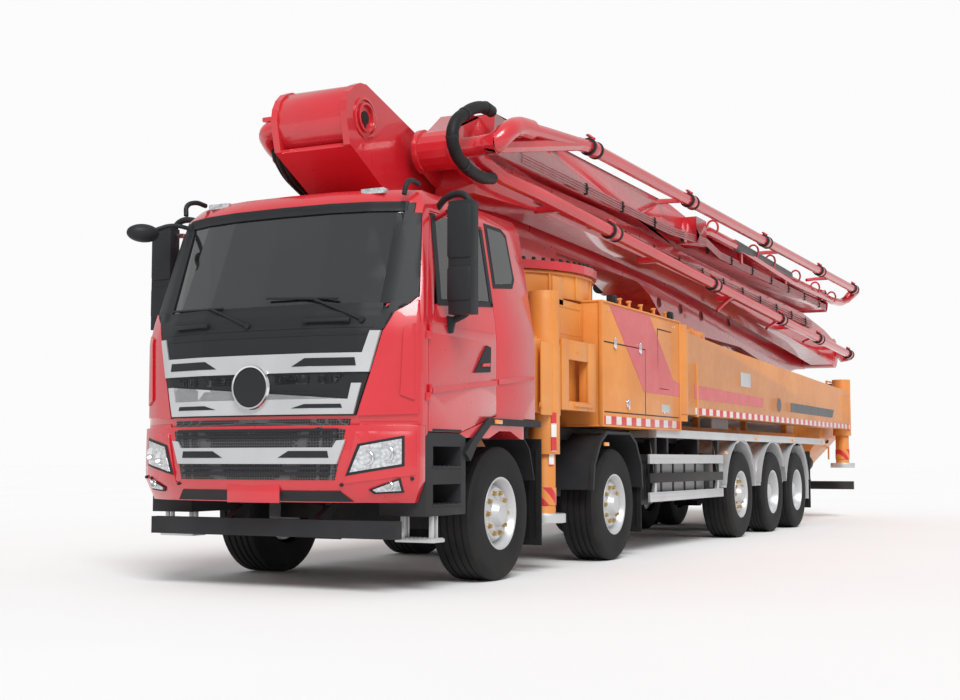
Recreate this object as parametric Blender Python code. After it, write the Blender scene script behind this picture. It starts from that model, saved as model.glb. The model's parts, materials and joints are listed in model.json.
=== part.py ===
"""Concrete pump truck: a five-axle lorry that carries a folded five-section boom.

Metres, +Z up. The lorry faces -Y and its left side is +X. Lengths along the lorry are given as
stations, measured rearward from the front axle, and station() turns one into Y.
"""

import math

import bmesh
import bpy
import numpy as np
from mathutils import Matrix, Vector

# Whole machine
front_end = -1.74
rear_end = 14.7439
middle = (front_end + rear_end) / 2
seat_gap = 0.0004

# Axles and wheels
axle_height = 0.54
tyre_face = 1.22
single_width = 0.38
twin_width = 0.66
twin_split = 0.04
rim_radius = 0.29
rim_hollow = 0.26
hub_radius = 0.12
wheel_sides = 16
kingpin_x = 0.98
kingpin_radius = 0.05
spindle_x = 1.08
twin_spindle_x = 0.88
# station, kind of wheel
axles = (
    (0.0, "steered"),
    (2.555, "steered"),
    (6.99, "single"),
    (8.55, "twin"),
    (9.90, "twin"),
)

# Chassis
rail_inside = 0.36
rail_outside = 0.43
rail_bottom = 0.78
rail_top = 1.06
rail_rear = 12.9
subframe_inside = 0.34
subframe_outside = 0.50
subframe_top = 1.40
subframe_front = 0.80
deck_bottom = 1.95
deck_top = 2.00
deck_half_width = 0.86

# Cab
cab_rear = 0.59
cab_wall = 0.06
cab_floor = 1.36
cab_bottom = 1.14
fascia_bottom = 1.22
roof_inside = 2.97
bumper_back = -1.335
door_gap = 0.008
door_hinge_x = 1.262
door_hinge_station = -1.292
hinge_height = 0.06
hinge_heights = (1.40, 1.85)
arch_radius = 0.67
# height, half width, station of the front at the middle, station of the front corners
cab_rings = (
    (1.14, 1.25, -1.70, -1.38),
    (1.90, 1.25, -1.70, -1.38),
    (2.05, 1.24, -1.67, -1.35),
    (2.92, 1.10, -1.36, -1.12),
    (3.02, 1.04, -1.27, -1.02),
    (3.05, 0.92, -1.12, -0.92),
)
bumper_rings = (
    (0.66, 1.19, -1.64, -1.38),
    (0.82, 1.25, -1.73, -1.42),
    (1.22 - seat_gap, 1.25, front_end, -1.42),
)
# station, height: the left door's outline
door_outline = (
    (-1.30, 1.17),
    (-0.80, 1.17),
    (-0.15, 1.32),
    (-0.15, 2.86),
    (-1.03, 2.86),
    (-1.30, 2.05),
)
door_window = (
    (-1.20, 2.02),
    (-0.25, 2.02),
    (-0.25, 2.78),
    (-0.96, 2.78),
)

# Pedestal, slewing ring and turret
slew_station = 2.20
pedestal_half_width = 0.55
ring_radius = 1.10
drum_radius = 1.05
drum_bottom = 2.49 + seat_gap
drum_top = 2.75
flange_top = 2.83
arm_inside = 0.30
arm_outside = 0.36

# Boom pivots: station, height
root_pivot = (-0.75, 3.72)
rear_pivot = (14.40, 2.85)
neck_pivot = (0.05, 3.59)
tail_pivot = (13.30, 3.66)
tip_pivot = (3.60, 3.68)
pipe_radius = 0.065
root_radius = 0.27
hub_1_radius = 0.27
neck_radius = 0.17
tail_radius = 0.19
tip_radius = 0.16
lane_1 = (-0.28, 0.28)
lane_2 = (0.44, 0.82)
lane_3 = (0.46, 0.92)
lane_4 = (-0.75, -0.42)
lane_5 = (-1.08, -0.80)

# Lift cylinder: station, height
cylinder_base = (2.75, 3.02)
cylinder_eye = (0.45, 3.33)
barrel_radius = 0.10
rod_radius = 0.06
barrel_length = 1.80

# Outriggers
front_beam_bottom = 1.75
front_beam_top = 2.10
front_beam_depth = 0.20
front_leg_x = 1.11
front_leg_station = 1.10
sleeve_wall = 0.035
front_leg_radius = 0.10
front_leg_foot = 0.42
rear_swing = (1.09, 4.75)
rear_arm_end = 13.60
rear_leg_radius = 0.11
rear_leg_foot = 0.84
arm_eye_radius = 0.16
arm_bottom = 1.48
arm_top = 2.41
slide_gap = 0.005

# Hopper
hopper_front = 13.00
hopper_rear = 14.30
hopper_half_width = 0.85
hopper_rim = 1.70
hopper_floor = 0.85
hopper_wall = 0.03
grate_front = 13.38

paint_table = {
    # name: colour, roughness, metallic
    "red_paint": ((0.62, 0.02, 0.03, 1), 0.30, 0.0),
    "orange_paint": ((0.80, 0.25, 0.04, 1), 0.45, 0.0),
    "silver_paint": ((0.62, 0.63, 0.65, 1), 0.35, 0.6),
    "dark_steel": ((0.05, 0.05, 0.055, 1), 0.55, 0.3),
    "dark_plastic": ((0.06, 0.06, 0.065, 1), 0.55, 0.0),
    "tyre": ((0.03, 0.03, 0.03, 1), 0.80, 0.0),
    "chrome": ((0.75, 0.75, 0.77, 1), 0.12, 1.0),
    "glass": ((0.10, 0.13, 0.14, 0.4), 0.05, 0.0),
    "cloth": ((0.10, 0.10, 0.11, 1), 0.90, 0.0),
}


def clear_scene():
    for old in list(bpy.data.objects):
        bpy.data.objects.remove(old)


def paint(name):
    found = bpy.data.materials.get(name)
    if found:
        return found
    colour, roughness, metallic = paint_table[name]
    made = bpy.data.materials.new(name)
    made.use_nodes = True
    shader = made.node_tree.nodes["Principled BSDF"]
    shader.inputs["Base Color"].default_value = colour
    shader.inputs["Roughness"].default_value = roughness
    shader.inputs["Metallic"].default_value = metallic
    shader.inputs["Alpha"].default_value = colour[3]
    made.diffuse_color = colour
    return made


def station(s):
    """The Y of a station."""
    return s - middle


def point(x, s, z):
    return Vector((x, station(s), z))


def solid(bm, name="solid"):
    bmesh.ops.recalc_face_normals(bm, faces=bm.faces)
    mesh = bpy.data.meshes.new(name)
    bm.to_mesh(mesh)
    bm.free()
    made = bpy.data.objects.new(name, mesh)
    bpy.context.scene.collection.objects.link(made)
    return made


def loft(rings):
    """A closed solid through rings that have the same number of points."""
    bm = bmesh.new()
    rows = [[bm.verts.new(p) for p in ring] for ring in rings]
    count = len(rows[0])
    for low, high in zip(rows, rows[1:]):
        for i in range(count):
            j = (i + 1) % count
            bm.faces.new((low[i], low[j], high[j], high[i]))
    bm.faces.new(rows[0])
    bm.faces.new(rows[-1])
    return solid(bm)


def block(x, s, z):
    """A box between two X, two stations and two heights."""
    outline = ((x[0], s[0]), (x[1], s[0]), (x[1], s[1]), (x[0], s[1]))
    return loft([[point(a, b, height) for a, b in outline] for height in z])


def side_plate(outline, x):
    """A (station, height) outline between two X."""
    return loft([[point(side, s, z) for s, z in outline] for side in x])


def top_plate(outline, z):
    """An (X, station) outline between two heights."""
    return loft([[point(x, s, height) for x, s in outline] for height in z])


def circle(radius, sides, phase=0.5):
    turns = [2 * math.pi * (i + phase) / sides for i in range(sides)]
    return [(radius * math.cos(a), radius * math.sin(a)) for a in turns]


def cross_drum(x, s, z, radius, sides=12):
    """A cylinder whose axis lies along X."""
    ring = circle(radius, sides)
    return loft([[point(side, s + a, z + b) for a, b in ring] for side in x])


def upright_drum(x, s, z, radius, sides=12):
    """A cylinder whose axis stands along Z."""
    ring = circle(radius, sides)
    return loft([[point(x + a, s + b, height) for a, b in ring] for height in z])


def rod_between(start, end, radius, sides=10):
    """A cylinder from one (X, station, height) to another."""
    return pipe((start, end), radius, sides)


def pipe(route, radius, sides=8):
    """A round bar along a route of (X, station, height) points."""
    centres = [point(*p) for p in route]
    steps = [(b - a).normalized() for a, b in zip(centres, centres[1:])]
    across = steps[0].orthogonal().normalized()
    rings = []
    for i, centre in enumerate(centres):
        before = steps[max(i - 1, 0)]
        after = steps[min(i, len(steps) - 1)]
        along = (before + after).normalized()
        across = (across - along * across.dot(along)).normalized()
        other = along.cross(across)
        wide = radius / max(along.dot(after), 0.5)
        ring = []
        for a, b in circle(1, sides):
            ring.append(centre + across * a * wide + other * b * wide)
        rings.append(ring)
    return loft(rings)


def bend(centre, radius, start, end, count, x):
    """Route points on an arc in a plane of constant X; angles in degrees from rearward, up."""
    angles = np.radians(np.linspace(start, end, count))
    return [(x, centre[0] + radius * math.cos(a), centre[1] + radius * math.sin(a)) for a in angles]


def turned(profile, s, z, sides=wheel_sides):
    """A solid turned about an axis along X, from (radius, X) points that start and end on the axis."""
    bm = bmesh.new()
    first = bm.verts.new(point(profile[0][1], s, z))
    last = bm.verts.new(point(profile[-1][1], s, z))
    rows = []
    for radius, x in profile[1:-1]:
        rows.append([bm.verts.new(point(x, s + a, z + b)) for a, b in circle(radius, sides)])
    for i in range(sides):
        j = (i + 1) % sides
        bm.faces.new((first, rows[0][i], rows[0][j]))
        bm.faces.new((last, rows[-1][j], rows[-1][i]))
        for near, far in zip(rows, rows[1:]):
            bm.faces.new((near[i], near[j], far[j], far[i]))
    return solid(bm)


def combine(base, others, operation):
    """Applies one Boolean for each of the others, and removes them."""
    for other in others:
        step = base.modifiers.new(operation.lower(), "BOOLEAN")
        step.operation = operation
        step.solver = "EXACT"
        step.object = other
    bpy.context.view_layer.update()
    graph = bpy.context.evaluated_depsgraph_get()
    mesh = bpy.data.meshes.new_from_object(base.evaluated_get(graph))
    base.modifiers.clear()
    base.data = mesh
    for other in others:
        bpy.data.objects.remove(other)
    return base


def node(name, finish, solids, cuts=()):
    """One named part: its solids joined into one body, and its cuts taken out."""
    made = solids[0]
    if len(solids) > 1:
        combine(made, solids[1:], "UNION")
    if cuts:
        combine(made, cuts, "DIFFERENCE")
    made.name = name
    made.data.name = name
    made.data.materials.clear()
    made.data.materials.append(paint(finish))
    made.data.shade_smooth()
    made.data.set_sharp_from_angle(angle=math.radians(32))
    return made


def other_side(left, name):
    """The right-hand twin of a left-hand part."""
    mesh = left.data.copy()
    mesh.transform(Matrix.Scale(-1, 4, (1, 0, 0)))
    mesh.flip_normals()
    made = bpy.data.objects.new(name, mesh)
    bpy.context.scene.collection.objects.link(made)
    return made


def pivot(name, x, s, z, parent=None):
    """An empty on a joint's axis."""
    made = bpy.data.objects.new(name, None)
    bpy.context.scene.collection.objects.link(made)
    made.location = point(x, s, z)
    if parent:
        made.parent = parent
        made.location = point(x, s, z) - parent.matrix_world.translation
    bpy.context.view_layer.update()
    return made


def hang(part, on):
    """Moves a part's origin to the pivot that it turns or slides with."""
    place = on.matrix_world.translation
    part.data.transform(Matrix.Translation(-place))
    part.parent = on


def chassis():
    rails = [
        block((side * rail_inside, side * rail_outside), (bumper_back + seat_gap, rail_rear - seat_gap),
              (rail_bottom, rail_top))
        for side in (-1, 1)
    ]
    ties = [
        block((-rail_inside - 0.02, rail_inside + 0.02), (s, s + 0.12), (0.82, 1.00))
        for s in (-1.20, 1.35, 3.60, 5.30, 7.70, 9.15, 10.90, 12.60)
    ]
    cab_mounts = [
        block((side * (rail_inside + 0.01), side * (rail_outside + 0.05)), (s, s + 0.12), (1.04, top))
        for side in (-1, 1)
        for s, top in ((-1.27, cab_bottom - seat_gap), (0.42, 1.31 - seat_gap))
    ]
    node("chassis_frame", "dark_steel", rails + ties + cab_mounts)
    half = rail_inside - seat_gap
    node("engine", "dark_steel", [block((-half, half), (-0.80, 0.75), (0.66, 1.30))])
    return None


def leaf_springs(s, seat):
    """A pair of sprung leaves from an axle's seat up to the rails."""
    top = rail_bottom - seat_gap
    outline = (
        (s - 0.62, top),
        (s - 0.62, top - 0.06),
        (s - 0.12, seat - 0.03),
        (s + 0.12, seat - 0.03),
        (s + 0.62, top - 0.06),
        (s + 0.62, top),
        (s + 0.54, top),
        (s + 0.12, seat + 0.05),
        (s - 0.12, seat + 0.05),
        (s - 0.54, top),
    )
    return [side_plate(outline, (side * 0.365, side * 0.425)) for side in (-1, 1)]


def axle_beam(number, s, kind):
    if kind == "steered":
        beam = block((-0.95, 0.95), (s - 0.05, s + 0.05), (0.47, 0.61))
        middle_beam = block((-0.60, 0.60), (s - 0.07, s + 0.07), (0.40, 0.60))
        eyes = [
            upright_drum(side * kingpin_x, s, (0.46, 0.62), kingpin_radius)
            for side in (-1, 1)
        ]
        solids = [middle_beam, beam] + eyes + leaf_springs(s, 0.60)
    else:
        end = spindle_x if kind == "single" else twin_spindle_x
        drum_in = end - 0.20
        tube = cross_drum((-end + seat_gap, end - seat_gap), s, axle_height, 0.085)
        drums = [
            cross_drum((side * drum_in, side * (end - seat_gap)), s, axle_height, 0.20)
            for side in (-1, 1)
        ]
        solids = [tube] + drums + leaf_springs(s, 0.62)
        if kind == "twin":
            solids.append(cross_drum((-0.17, 0.17), s, axle_height, 0.21))
    node(f"axle_{number}", "dark_steel", solids)


def knuckle(number, s):
    top = 0.62 + seat_gap
    low = 0.46 - seat_gap
    lugs = [
        upright_drum(kingpin_x, s, (top, 0.70), 0.055),
        upright_drum(kingpin_x, s, (0.38, low), 0.055),
        block((kingpin_x, 1.05), (s - 0.045, s + 0.045), (top, 0.69)),
        block((kingpin_x, 1.05), (s - 0.045, s + 0.045), (0.39, low)),
    ]
    web = block((kingpin_x + kingpin_radius + 0.006, 1.065), (s - 0.06, s + 0.06), (0.38, 0.70))
    drum = cross_drum((1.045, spindle_x - seat_gap), s, axle_height, 0.19)
    left = node(f"knuckle_{number}_left", "dark_steel", [web, drum] + lugs)
    return left, other_side(left, f"knuckle_{number}_right")


def wheel_profile(kind):
    tread = axle_height / math.cos(math.pi / wheel_sides)
    outer = tyre_face
    shoulder = 0.035
    side = 0.46
    if kind == "twin":
        inner = outer - twin_width
        half = (twin_width - twin_split) / 2
        return (
            (0, 1.17), (hub_radius, 1.17), (hub_radius + 0.02, 0.97), (rim_hollow, 0.96),
            (rim_radius, outer - 0.02), (side, outer), (tread, outer - shoulder),
            (tread, outer - half + shoulder), (side, outer - half),
            (side, inner + half), (tread, inner + half - shoulder),
            (tread, inner + shoulder), (side, inner), (rim_radius, inner + 0.02),
            (rim_hollow, twin_spindle_x), (0, twin_spindle_x),
        )
    inner = outer - single_width
    return (
        (0, 1.245), (hub_radius, 1.245), (hub_radius + 0.02, 1.20), (rim_hollow - 0.02, 1.17),
        (rim_radius, outer - 0.02), (side, outer), (tread, outer - shoulder),
        (tread, inner + shoulder), (side, inner), (rim_radius, inner + 0.02),
        (rim_hollow, spindle_x), (0, spindle_x),
    )


def running_gear():
    for number, (s, kind) in enumerate(axles, 1):
        axle_beam(number, s, kind)
        wheel = node(f"wheel_{number}_left", "tyre", [turned(wheel_profile(kind), s, axle_height)])
        pair = {"left": wheel, "right": other_side(wheel, f"wheel_{number}_right")}
        turn = {}
        if kind == "steered":
            for side, part in zip(("left", "right"), knuckle(number, s)):
                x = kingpin_x if side == "left" else -kingpin_x
                turn[side] = pivot(f"kingpin_{number}_{side}", x, s, axle_height)
                hang(part, turn[side])
        for side, part in pair.items():
            x = spindle_x if side == "left" else -spindle_x
            hang(part, pivot(f"hub_{number}_{side}", x, s, axle_height, turn.get(side)))


def cab_ring(z, inset, rings, back):
    """The plan outline of a nose with round corners, at one height."""
    heights = [row[0] for row in rings]
    half, nose, corner = (np.interp(z, heights, [row[i] for row in rings]) for i in (1, 2, 3))
    half -= inset
    nose += inset
    corner += inset
    shares = (1, 0.95, 0.86, 0.68, 0.40, 0)
    curve = [(half * t, nose + (corner - nose) * t ** 3) for t in shares]
    left = [(half, back - inset)] + curve
    right = [(-x, s) for x, s in reversed(left[:-1])]
    return [point(x, s, z) for x, s in left + right]


def cab_loft(inset, bottom, top, rings=cab_rings, back=cab_rear):
    heights = [bottom] + [row[0] for row in rings if bottom < row[0] < top] + [top]
    return loft([cab_ring(z, inset, rings, back) for z in heights])


def shrunk(outline, gap):
    """An outline pulled in towards its middle by a gap, along each axis."""
    centre_s = sum(s for s, _ in outline) / len(outline)
    centre_z = sum(z for _, z in outline) / len(outline)
    return [(s - math.copysign(gap, s - centre_s), z - math.copysign(gap, z - centre_z)) for s, z in outline]


def mirror_arm():
    """A door mirror's two arms and its tall housing."""
    housing = block((1.31, 1.50), (-1.10, -0.98), (2.05, 2.90))
    arms = [
        pipe(((1.20, -0.98, z), (1.27, -1.04, z), (1.36, -1.04, z)), 0.022, 6)
        for z in (2.12,)
    ]
    top_arm = pipe(((1.11, -0.92, 2.81), (1.25, -1.00, 2.84), (1.36, -1.04, 2.84)), 0.022, 6)
    return [housing, top_arm] + arms


def hinge(side, low, reach):
    """Half a door hinge: its leaf and its knuckle on the hinge's axis, as one flat piece."""
    x = door_hinge_x
    back = door_hinge_station
    near = back + reach / 4
    outline = (
        (side * (x - 0.03), back + reach), (side * (x - 0.03), near), (side * (x - 0.008), near),
        (side * (x - 0.008), back - reach / 6), (side * (x + 0.008), back - reach / 6),
        (side * (x + 0.014), near), (side * x, back + reach),
    )
    return top_plate(outline, (low, low + hinge_height))


def cab():
    top = cab_rings[-1][0]
    outer = cab_loft(0, cab_bottom, top)
    step_boxes = [
        block((side * 0.86, side * 1.25), (bumper_back + 0.005, -0.70), (0.56, 1.18))
        for side in (-1, 1)
    ]
    step_cuts = [
        block((side * 1.02, side * 1.30), (-1.22, -0.78), (z, z + 0.15))
        for side in (-1, 1)
        for z in (0.64, 0.92)
    ]
    inner = cab_loft(cab_wall, cab_floor, roof_inside)
    door_cuts = [side_plate(door_outline, (side * 0.95, side * 1.40)) for side in (-1, 1)]
    screen_cut = block((-1.00, 1.00), (-1.80, -0.98), (2.06, 2.88))
    below = [
        block((-1.30, 1.30), (-1.90, bumper_back + 0.004), (1.0, fascia_bottom)),
        block((-1.30, 1.30), (0.36, 0.70), (1.0, 1.31)),
        block((-0.42, 0.42), (-1.10, 0.80), (1.0, 1.325)),
    ]
    arches = [cross_drum((side * 0.52, side * 1.40), 0, axle_height, arch_radius, 20) for side in (-1, 1)]
    cuts = [inner, screen_cut] + door_cuts + below + arches + step_cuts
    hinges = []
    for side in (-1, 1):
        for z in hinge_heights:
            hinges.append(hinge(side, z, -0.04))
    node("cab_shell", "red_paint", [outer] + step_boxes, cuts)
    shell = bpy.data.objects["cab_shell"]
    combine(shell, hinges, "UNION")

    glass = cab_loft(0.012, 2.00, 2.95)
    glass_inner = cab_loft(0.030, 1.90, 2.99)
    combine(glass, [glass_inner], "DIFFERENCE")
    edge = 1.00 - seat_gap
    window = block((-edge, edge), (-1.80, -0.98 - seat_gap), (2.06 + seat_gap, 2.88 - seat_gap))
    combine(glass, [window], "INTERSECT")
    node("windscreen", "glass", [glass])

    skin = cab_loft(0, cab_bottom, top)
    lining = cab_loft(cab_wall, cab_bottom - 0.1, roof_inside)
    combine(skin, [lining], "DIFFERENCE")
    panel = side_plate(shrunk(door_outline, door_gap), (1.00, 1.35))
    combine(skin, [panel], "INTERSECT")
    left = node(
        "door_left",
        "red_paint",
        [skin] + mirror_arm() + [hinge(1, z + hinge_height + seat_gap, 0.04) for z in hinge_heights],
        [side_plate(door_window, (0.9, 1.30))],
    )
    right = other_side(left, "door_right")
    hang(left, pivot("door_hinge_left", door_hinge_x, door_hinge_station, 2.0))
    hang(right, pivot("door_hinge_right", -door_hinge_x, door_hinge_station, 2.0))
    cab_inside()

    node("bumper", "dark_plastic", [loft([cab_ring(z, 0, bumper_rings, bumper_back) for z in (0.66, 0.82, bumper_rings[2][0])])])
    bar = block((-1.11, 1.11), (-1.51, -1.43), (0.40, 0.53))
    bracket = (
        (-1.50, 0.41), (-1.43, 0.41), (-1.12, 0.70), (-1.12, rail_bottom - seat_gap),
        (-1.29, rail_bottom - seat_gap), (-1.30, 0.63), (-1.50, 0.52),
    )
    brackets = [side_plate(bracket, (side * 0.37, side * 0.42)) for side in (-1, 1)]
    node("underrun_bar", "silver_paint", [bar] + brackets)


def cab_inside():
    seat_floor = cab_floor + seat_gap
    for side, name in ((1, "seat_left"), (-1, "seat_right")):
        x = side * 0.62
        base = block((x - 0.20, x + 0.20), (-0.62, -0.22), (seat_floor, 1.66))
        cushion = block((x - 0.26, x + 0.26), (-0.72, -0.18), (1.64, 1.80))
        back = side_plate(
            ((-0.26, 1.70), (-0.10, 1.70), (0.02, 2.50), (-0.12, 2.50)), (x - 0.25, x + 0.25)
        )
        node(name, "cloth", [base, cushion, back])
    half = 1.25 - cab_wall - 0.03
    dash = side_plate(
        ((-1.24, seat_floor), (-1.08, seat_floor), (-0.98, 1.80), (-1.05, 1.98), (-1.24, 2.00)),
        (-half, half),
    )
    column = pipe(((0.62, -1.05, 1.80), (0.62, -0.84, 2.02)), 0.03, 8)
    rim = pipe(
        [
            (0.62 + 0.21 * math.cos(a), -0.84 - 0.155 * math.sin(a), 2.02 + 0.14 * math.sin(a))
            for a in np.linspace(0, 2 * math.pi, 17)[:-1]
        ],
        0.016,
        6,
    )
    spokes = [pipe(((0.42, -0.84, 2.02), (0.82, -0.84, 2.02)), 0.014, 6)]
    node("dashboard", "dark_plastic", [dash, column, rim] + spokes)


def superstructure():
    low = rail_top + seat_gap
    beams = [
        block((side * subframe_inside, side * subframe_outside), (subframe_front, rail_rear), (low, subframe_top))
        for side in (-1, 1)
    ]
    ties = [
        block((-subframe_inside - 0.02, subframe_inside + 0.02), (s, s + 0.15), (low + 0.02, 1.36))
        for s in (0.85, 3.30, 6.30, 8.90, 11.40)
    ]
    posts = [
        block((side * 0.38, side * 0.46), (s, s + 0.08), (subframe_top - 0.02, deck_bottom + 0.02))
        for side in (-1, 1)
        for s in (5.30, 7.60, 9.90, 12.30)
    ]
    deck = block((-deck_half_width, deck_half_width), (5.15, 12.50), (deck_bottom, deck_top))
    node("subframe", "orange_paint", beams + ties + posts + [deck])

    base = subframe_top + seat_gap
    column = block((-pedestal_half_width, pedestal_half_width), (1.36, 3.15), (base, drum_bottom + 0.05))
    drum = upright_drum(0, slew_station, (drum_bottom, drum_top), drum_radius, 32)
    housing = block((-0.92, 0.92), (0.80, 1.39), (1.60, 2.30))
    feet = [
        block((side * subframe_inside, side * subframe_outside), (0.82, 1.40), (base, 1.62))
        for side in (-1, 1)
    ]
    channels = []
    for s in (beam_station(1), beam_station(-1)):
        channels.append(
            block((-1.2, 1.2), (s - slide_gap, s + front_beam_depth + slide_gap),
                  (front_beam_bottom - seat_gap, front_beam_top + slide_gap))
        )
    node("pedestal", "orange_paint", [column, drum, housing] + feet, channels)

    x, s = rear_swing
    carrier = block((-0.90, 0.90), (s - 0.22, s + 0.25), (base, 1.90))
    cheeks = [block((side * 0.60, side * 0.90), (s - 0.20, s + 0.22), (1.80, 2.50)) for side in (-1, 1)]
    lugs = []
    for side in (-1, 1):
        for z in ((1.401, arm_bottom - seat_gap), (arm_top + seat_gap, 2.49)):
            lugs.append(upright_drum(side * x, s, z, arm_eye_radius - 0.01))
            lugs.append(block((side * 0.80, side * x), (s - 0.14, s + 0.14), z))
    node("outrigger_carrier", "orange_paint", [carrier] + cheeks + lugs)

    left = node(
        "side_box_left",
        "orange_paint",
        [block((pedestal_half_width + seat_gap, 1.25), (2.15, 4.48), (1.30, 2.49))],
        [block((0.50, 0.62), (3.20, 4.60), (1.20, 2.60)), block((0.4, 0.55), (2.0, 4.6), (1.2, 2.6))],
    )
    other_side(left, "side_box_right")


def beam_station(side):
    """Where the left (1) or right (-1) front outrigger's beam starts."""
    return front_leg_station - 0.04 - front_beam_depth if side > 0 else front_leg_station + 0.04


def sleeved_leg(names, place, radius, sleeve, foot, arm, finish="orange_paint"):
    """An arm that ends in an upright sleeve, and the leg inside it; returns both."""
    x, s = place
    low, high = sleeve
    tube = upright_drum(x, s, (low, high + 0.05), radius + slide_gap + sleeve_wall)
    bore = upright_drum(x, s, (low - 0.1, high + seat_gap), radius + slide_gap)
    body = node(names[0], finish, [arm[0], tube] + arm[1:], [bore])
    leg = upright_drum(x, s, (foot + 0.04, high), radius)
    pad = upright_drum(x, s, (foot, foot + 0.08), radius + 0.09)
    return body, node(names[1], "silver_paint", [leg, pad])


def outriggers():
    for side, word in ((1, "left"), (-1, "right")):
        start = beam_station(side)
        beam = block((side * -0.90, side * 1.06), (start, start + front_beam_depth),
                     (front_beam_bottom, front_beam_top))
        body, leg = sleeved_leg(
            (f"front_outrigger_{word}", f"front_leg_{word}"),
            (side * front_leg_x, front_leg_station), front_leg_radius, (1.02, 2.42), front_leg_foot, [beam],
        )
        slide = pivot(f"front_slide_{word}", side * front_leg_x, front_leg_station, 1.9)
        hang(body, slide)
        hang(leg, pivot(f"front_leg_slide_{word}", side * front_leg_x, front_leg_station, 1.0, slide))

    x, s = rear_swing
    outline = (
        (s, arm_bottom), (rear_arm_end - 0.08, arm_bottom + 0.01), (rear_arm_end - 0.08, 2.12),
        (6.6, 2.33), (s, arm_top),
    )
    arm = side_plate(outline, (0.96, 1.235))
    eye = upright_drum(x, s, (arm_bottom, arm_top), arm_eye_radius)
    body, leg = sleeved_leg(
        ("rear_outrigger_left", "rear_leg_left"), (x, rear_arm_end), rear_leg_radius,
        (1.38, 2.28), rear_leg_foot, [arm, eye],
    )
    twins = (other_side(body, "rear_outrigger_right"), other_side(leg, "rear_leg_right"))
    for side, word, (swing_part, leg_part) in ((1, "left", (body, leg)), (-1, "right", twins)):
        swing = pivot(f"rear_swing_{word}", side * x, s, 1.9)
        hang(swing_part, swing)
        hang(leg_part, pivot(f"rear_leg_slide_{word}", side * x, rear_arm_end, 1.0, swing))


def side_guards():
    """Guard rails, tank and mudguards of one side, on brackets from the subframe."""
    rail_x = (1.18, 1.21)
    rails = [block(rail_x, (3.60, 6.22), (z, z + 0.10)) for z in (0.53, 0.73, 0.93)]
    posts = [block((1.13, 1.19), (s, s + 0.06), (0.53, 1.28)) for s in (3.80, 6.05)]
    hangers = [
        block((subframe_outside + seat_gap, 1.15), (s, s + 0.06), (1.20, 1.28))
        for s in (3.80, 6.05, 6.96, 9.20)
    ]
    tank = block((0.58, 1.11), (4.05, 5.75), (0.52, 1.02))
    straps = [block((0.60, 1.15), (s, s + 0.06), (0.98, 1.24)) for s in (4.30, 5.40)]
    strap_hangers = [
        block((subframe_outside + seat_gap, 0.80), (s, s + 0.06), (1.14, 1.24)) for s in (4.30, 5.40)
    ]
    top_rail = block((1.12, 1.22), (3.78, 11.70), (1.21, 1.30))
    guards = []
    for s, first, last in ((axles[2][0], 8, 172), (axles[3][0], 30, 172), (axles[4][0], -12, 150)):
        turns = np.radians(np.linspace(first, last, 9))
        outer = [(s + 0.69 * math.cos(a), axle_height + 0.69 * math.sin(a)) for a in turns]
        inner = [(s + 0.67 * math.cos(a), axle_height + 0.67 * math.sin(a)) for a in reversed(turns)]
        low_x = 0.84 if s == axles[2][0] else 0.56
        guards.append(side_plate(outer + inner, (low_x, 1.215)))
    left = node(
        "side_guard_left", "silver_paint", [top_rail] + hangers + posts + rails + straps
        + strap_hangers + [tank] + guards,
    )
    other_side(left, "side_guard_right")


def hopper():
    def ring(x, s, z):
        return [point(a, b, z) for a, b in ((-x, s[0]), (x, s[0]), (x, s[1]), (-x, s[1]))]

    outer = loft([
        ring(0.42, (13.25, 14.10), hopper_floor),
        ring(hopper_half_width, (hopper_front, hopper_rear), 1.35),
        ring(hopper_half_width, (hopper_front, hopper_rear), hopper_rim),
    ])
    inner = loft([
        ring(0.42 - hopper_wall, (13.28, 14.07), hopper_floor + hopper_wall),
        ring(hopper_half_width - hopper_wall, (hopper_front + hopper_wall, hopper_rear - hopper_wall), 1.36),
        ring(hopper_half_width - hopper_wall, (hopper_front + hopper_wall, hopper_rear - hopper_wall), 1.80),
    ])
    carrier = block((-0.43, 0.43), (rail_rear, 13.30), (0.86, 1.04))
    under_bar = block((-1.10, 1.10), (14.38, 14.46), (0.46, 0.60))
    under_arms = [
        side_plate(((14.00, 0.88), (14.08, 0.96), (14.44, 0.59), (14.40, 0.50)), (side * 0.30, side * 0.36))
        for side in (-1, 1)
    ]
    node("hopper", "orange_paint", [outer, carrier, under_bar] + under_arms, [inner])
    pump_barrels = [
        cross_barrel(side * 0.20, (5.20, rail_rear - 0.05), 1.62, 0.13)
        for side in (-1, 1)
    ]
    water_box = block((-0.40, 0.40), (8.40, 9.20), (subframe_top + seat_gap, 1.86))
    rear_box = block((-0.40, 0.40), (12.55, hopper_front - seat_gap), (subframe_top + seat_gap, 1.80))
    node("pump_cylinders", "silver_paint", [water_box, rear_box] + pump_barrels)

    bars = [
        block((-0.82, 0.82), (s, s + 0.02), (hopper_rim + seat_gap, hopper_rim + 0.03))
        for s in (grate_front, grate_front + 0.86)
    ]
    bars += [
        block((x - 0.008, x + 0.008), (grate_front + 0.005, grate_front + 0.875), (hopper_rim + 0.006, hopper_rim + 0.026))
        for x in np.linspace(-0.80, 0.80, 11)
    ]
    side_bars = [
        block((side * 0.805, side * (hopper_half_width - 0.005)), (grate_front, grate_front + 0.88),
              (hopper_rim + seat_gap, hopper_rim + 0.03))
        for side in (-1, 1)
    ]
    grate = node("hopper_grate", "dark_steel", bars + side_bars)
    hang(grate, pivot("grate_hinge", 0, grate_front, hopper_rim + 0.015))


def cross_barrel(x, s, z, radius, sides=14):
    """A cylinder whose axis lies along the lorry."""
    ring = circle(radius, sides)
    return loft([[point(x + a, at, z + b) for a, b in ring] for at in s])


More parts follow.
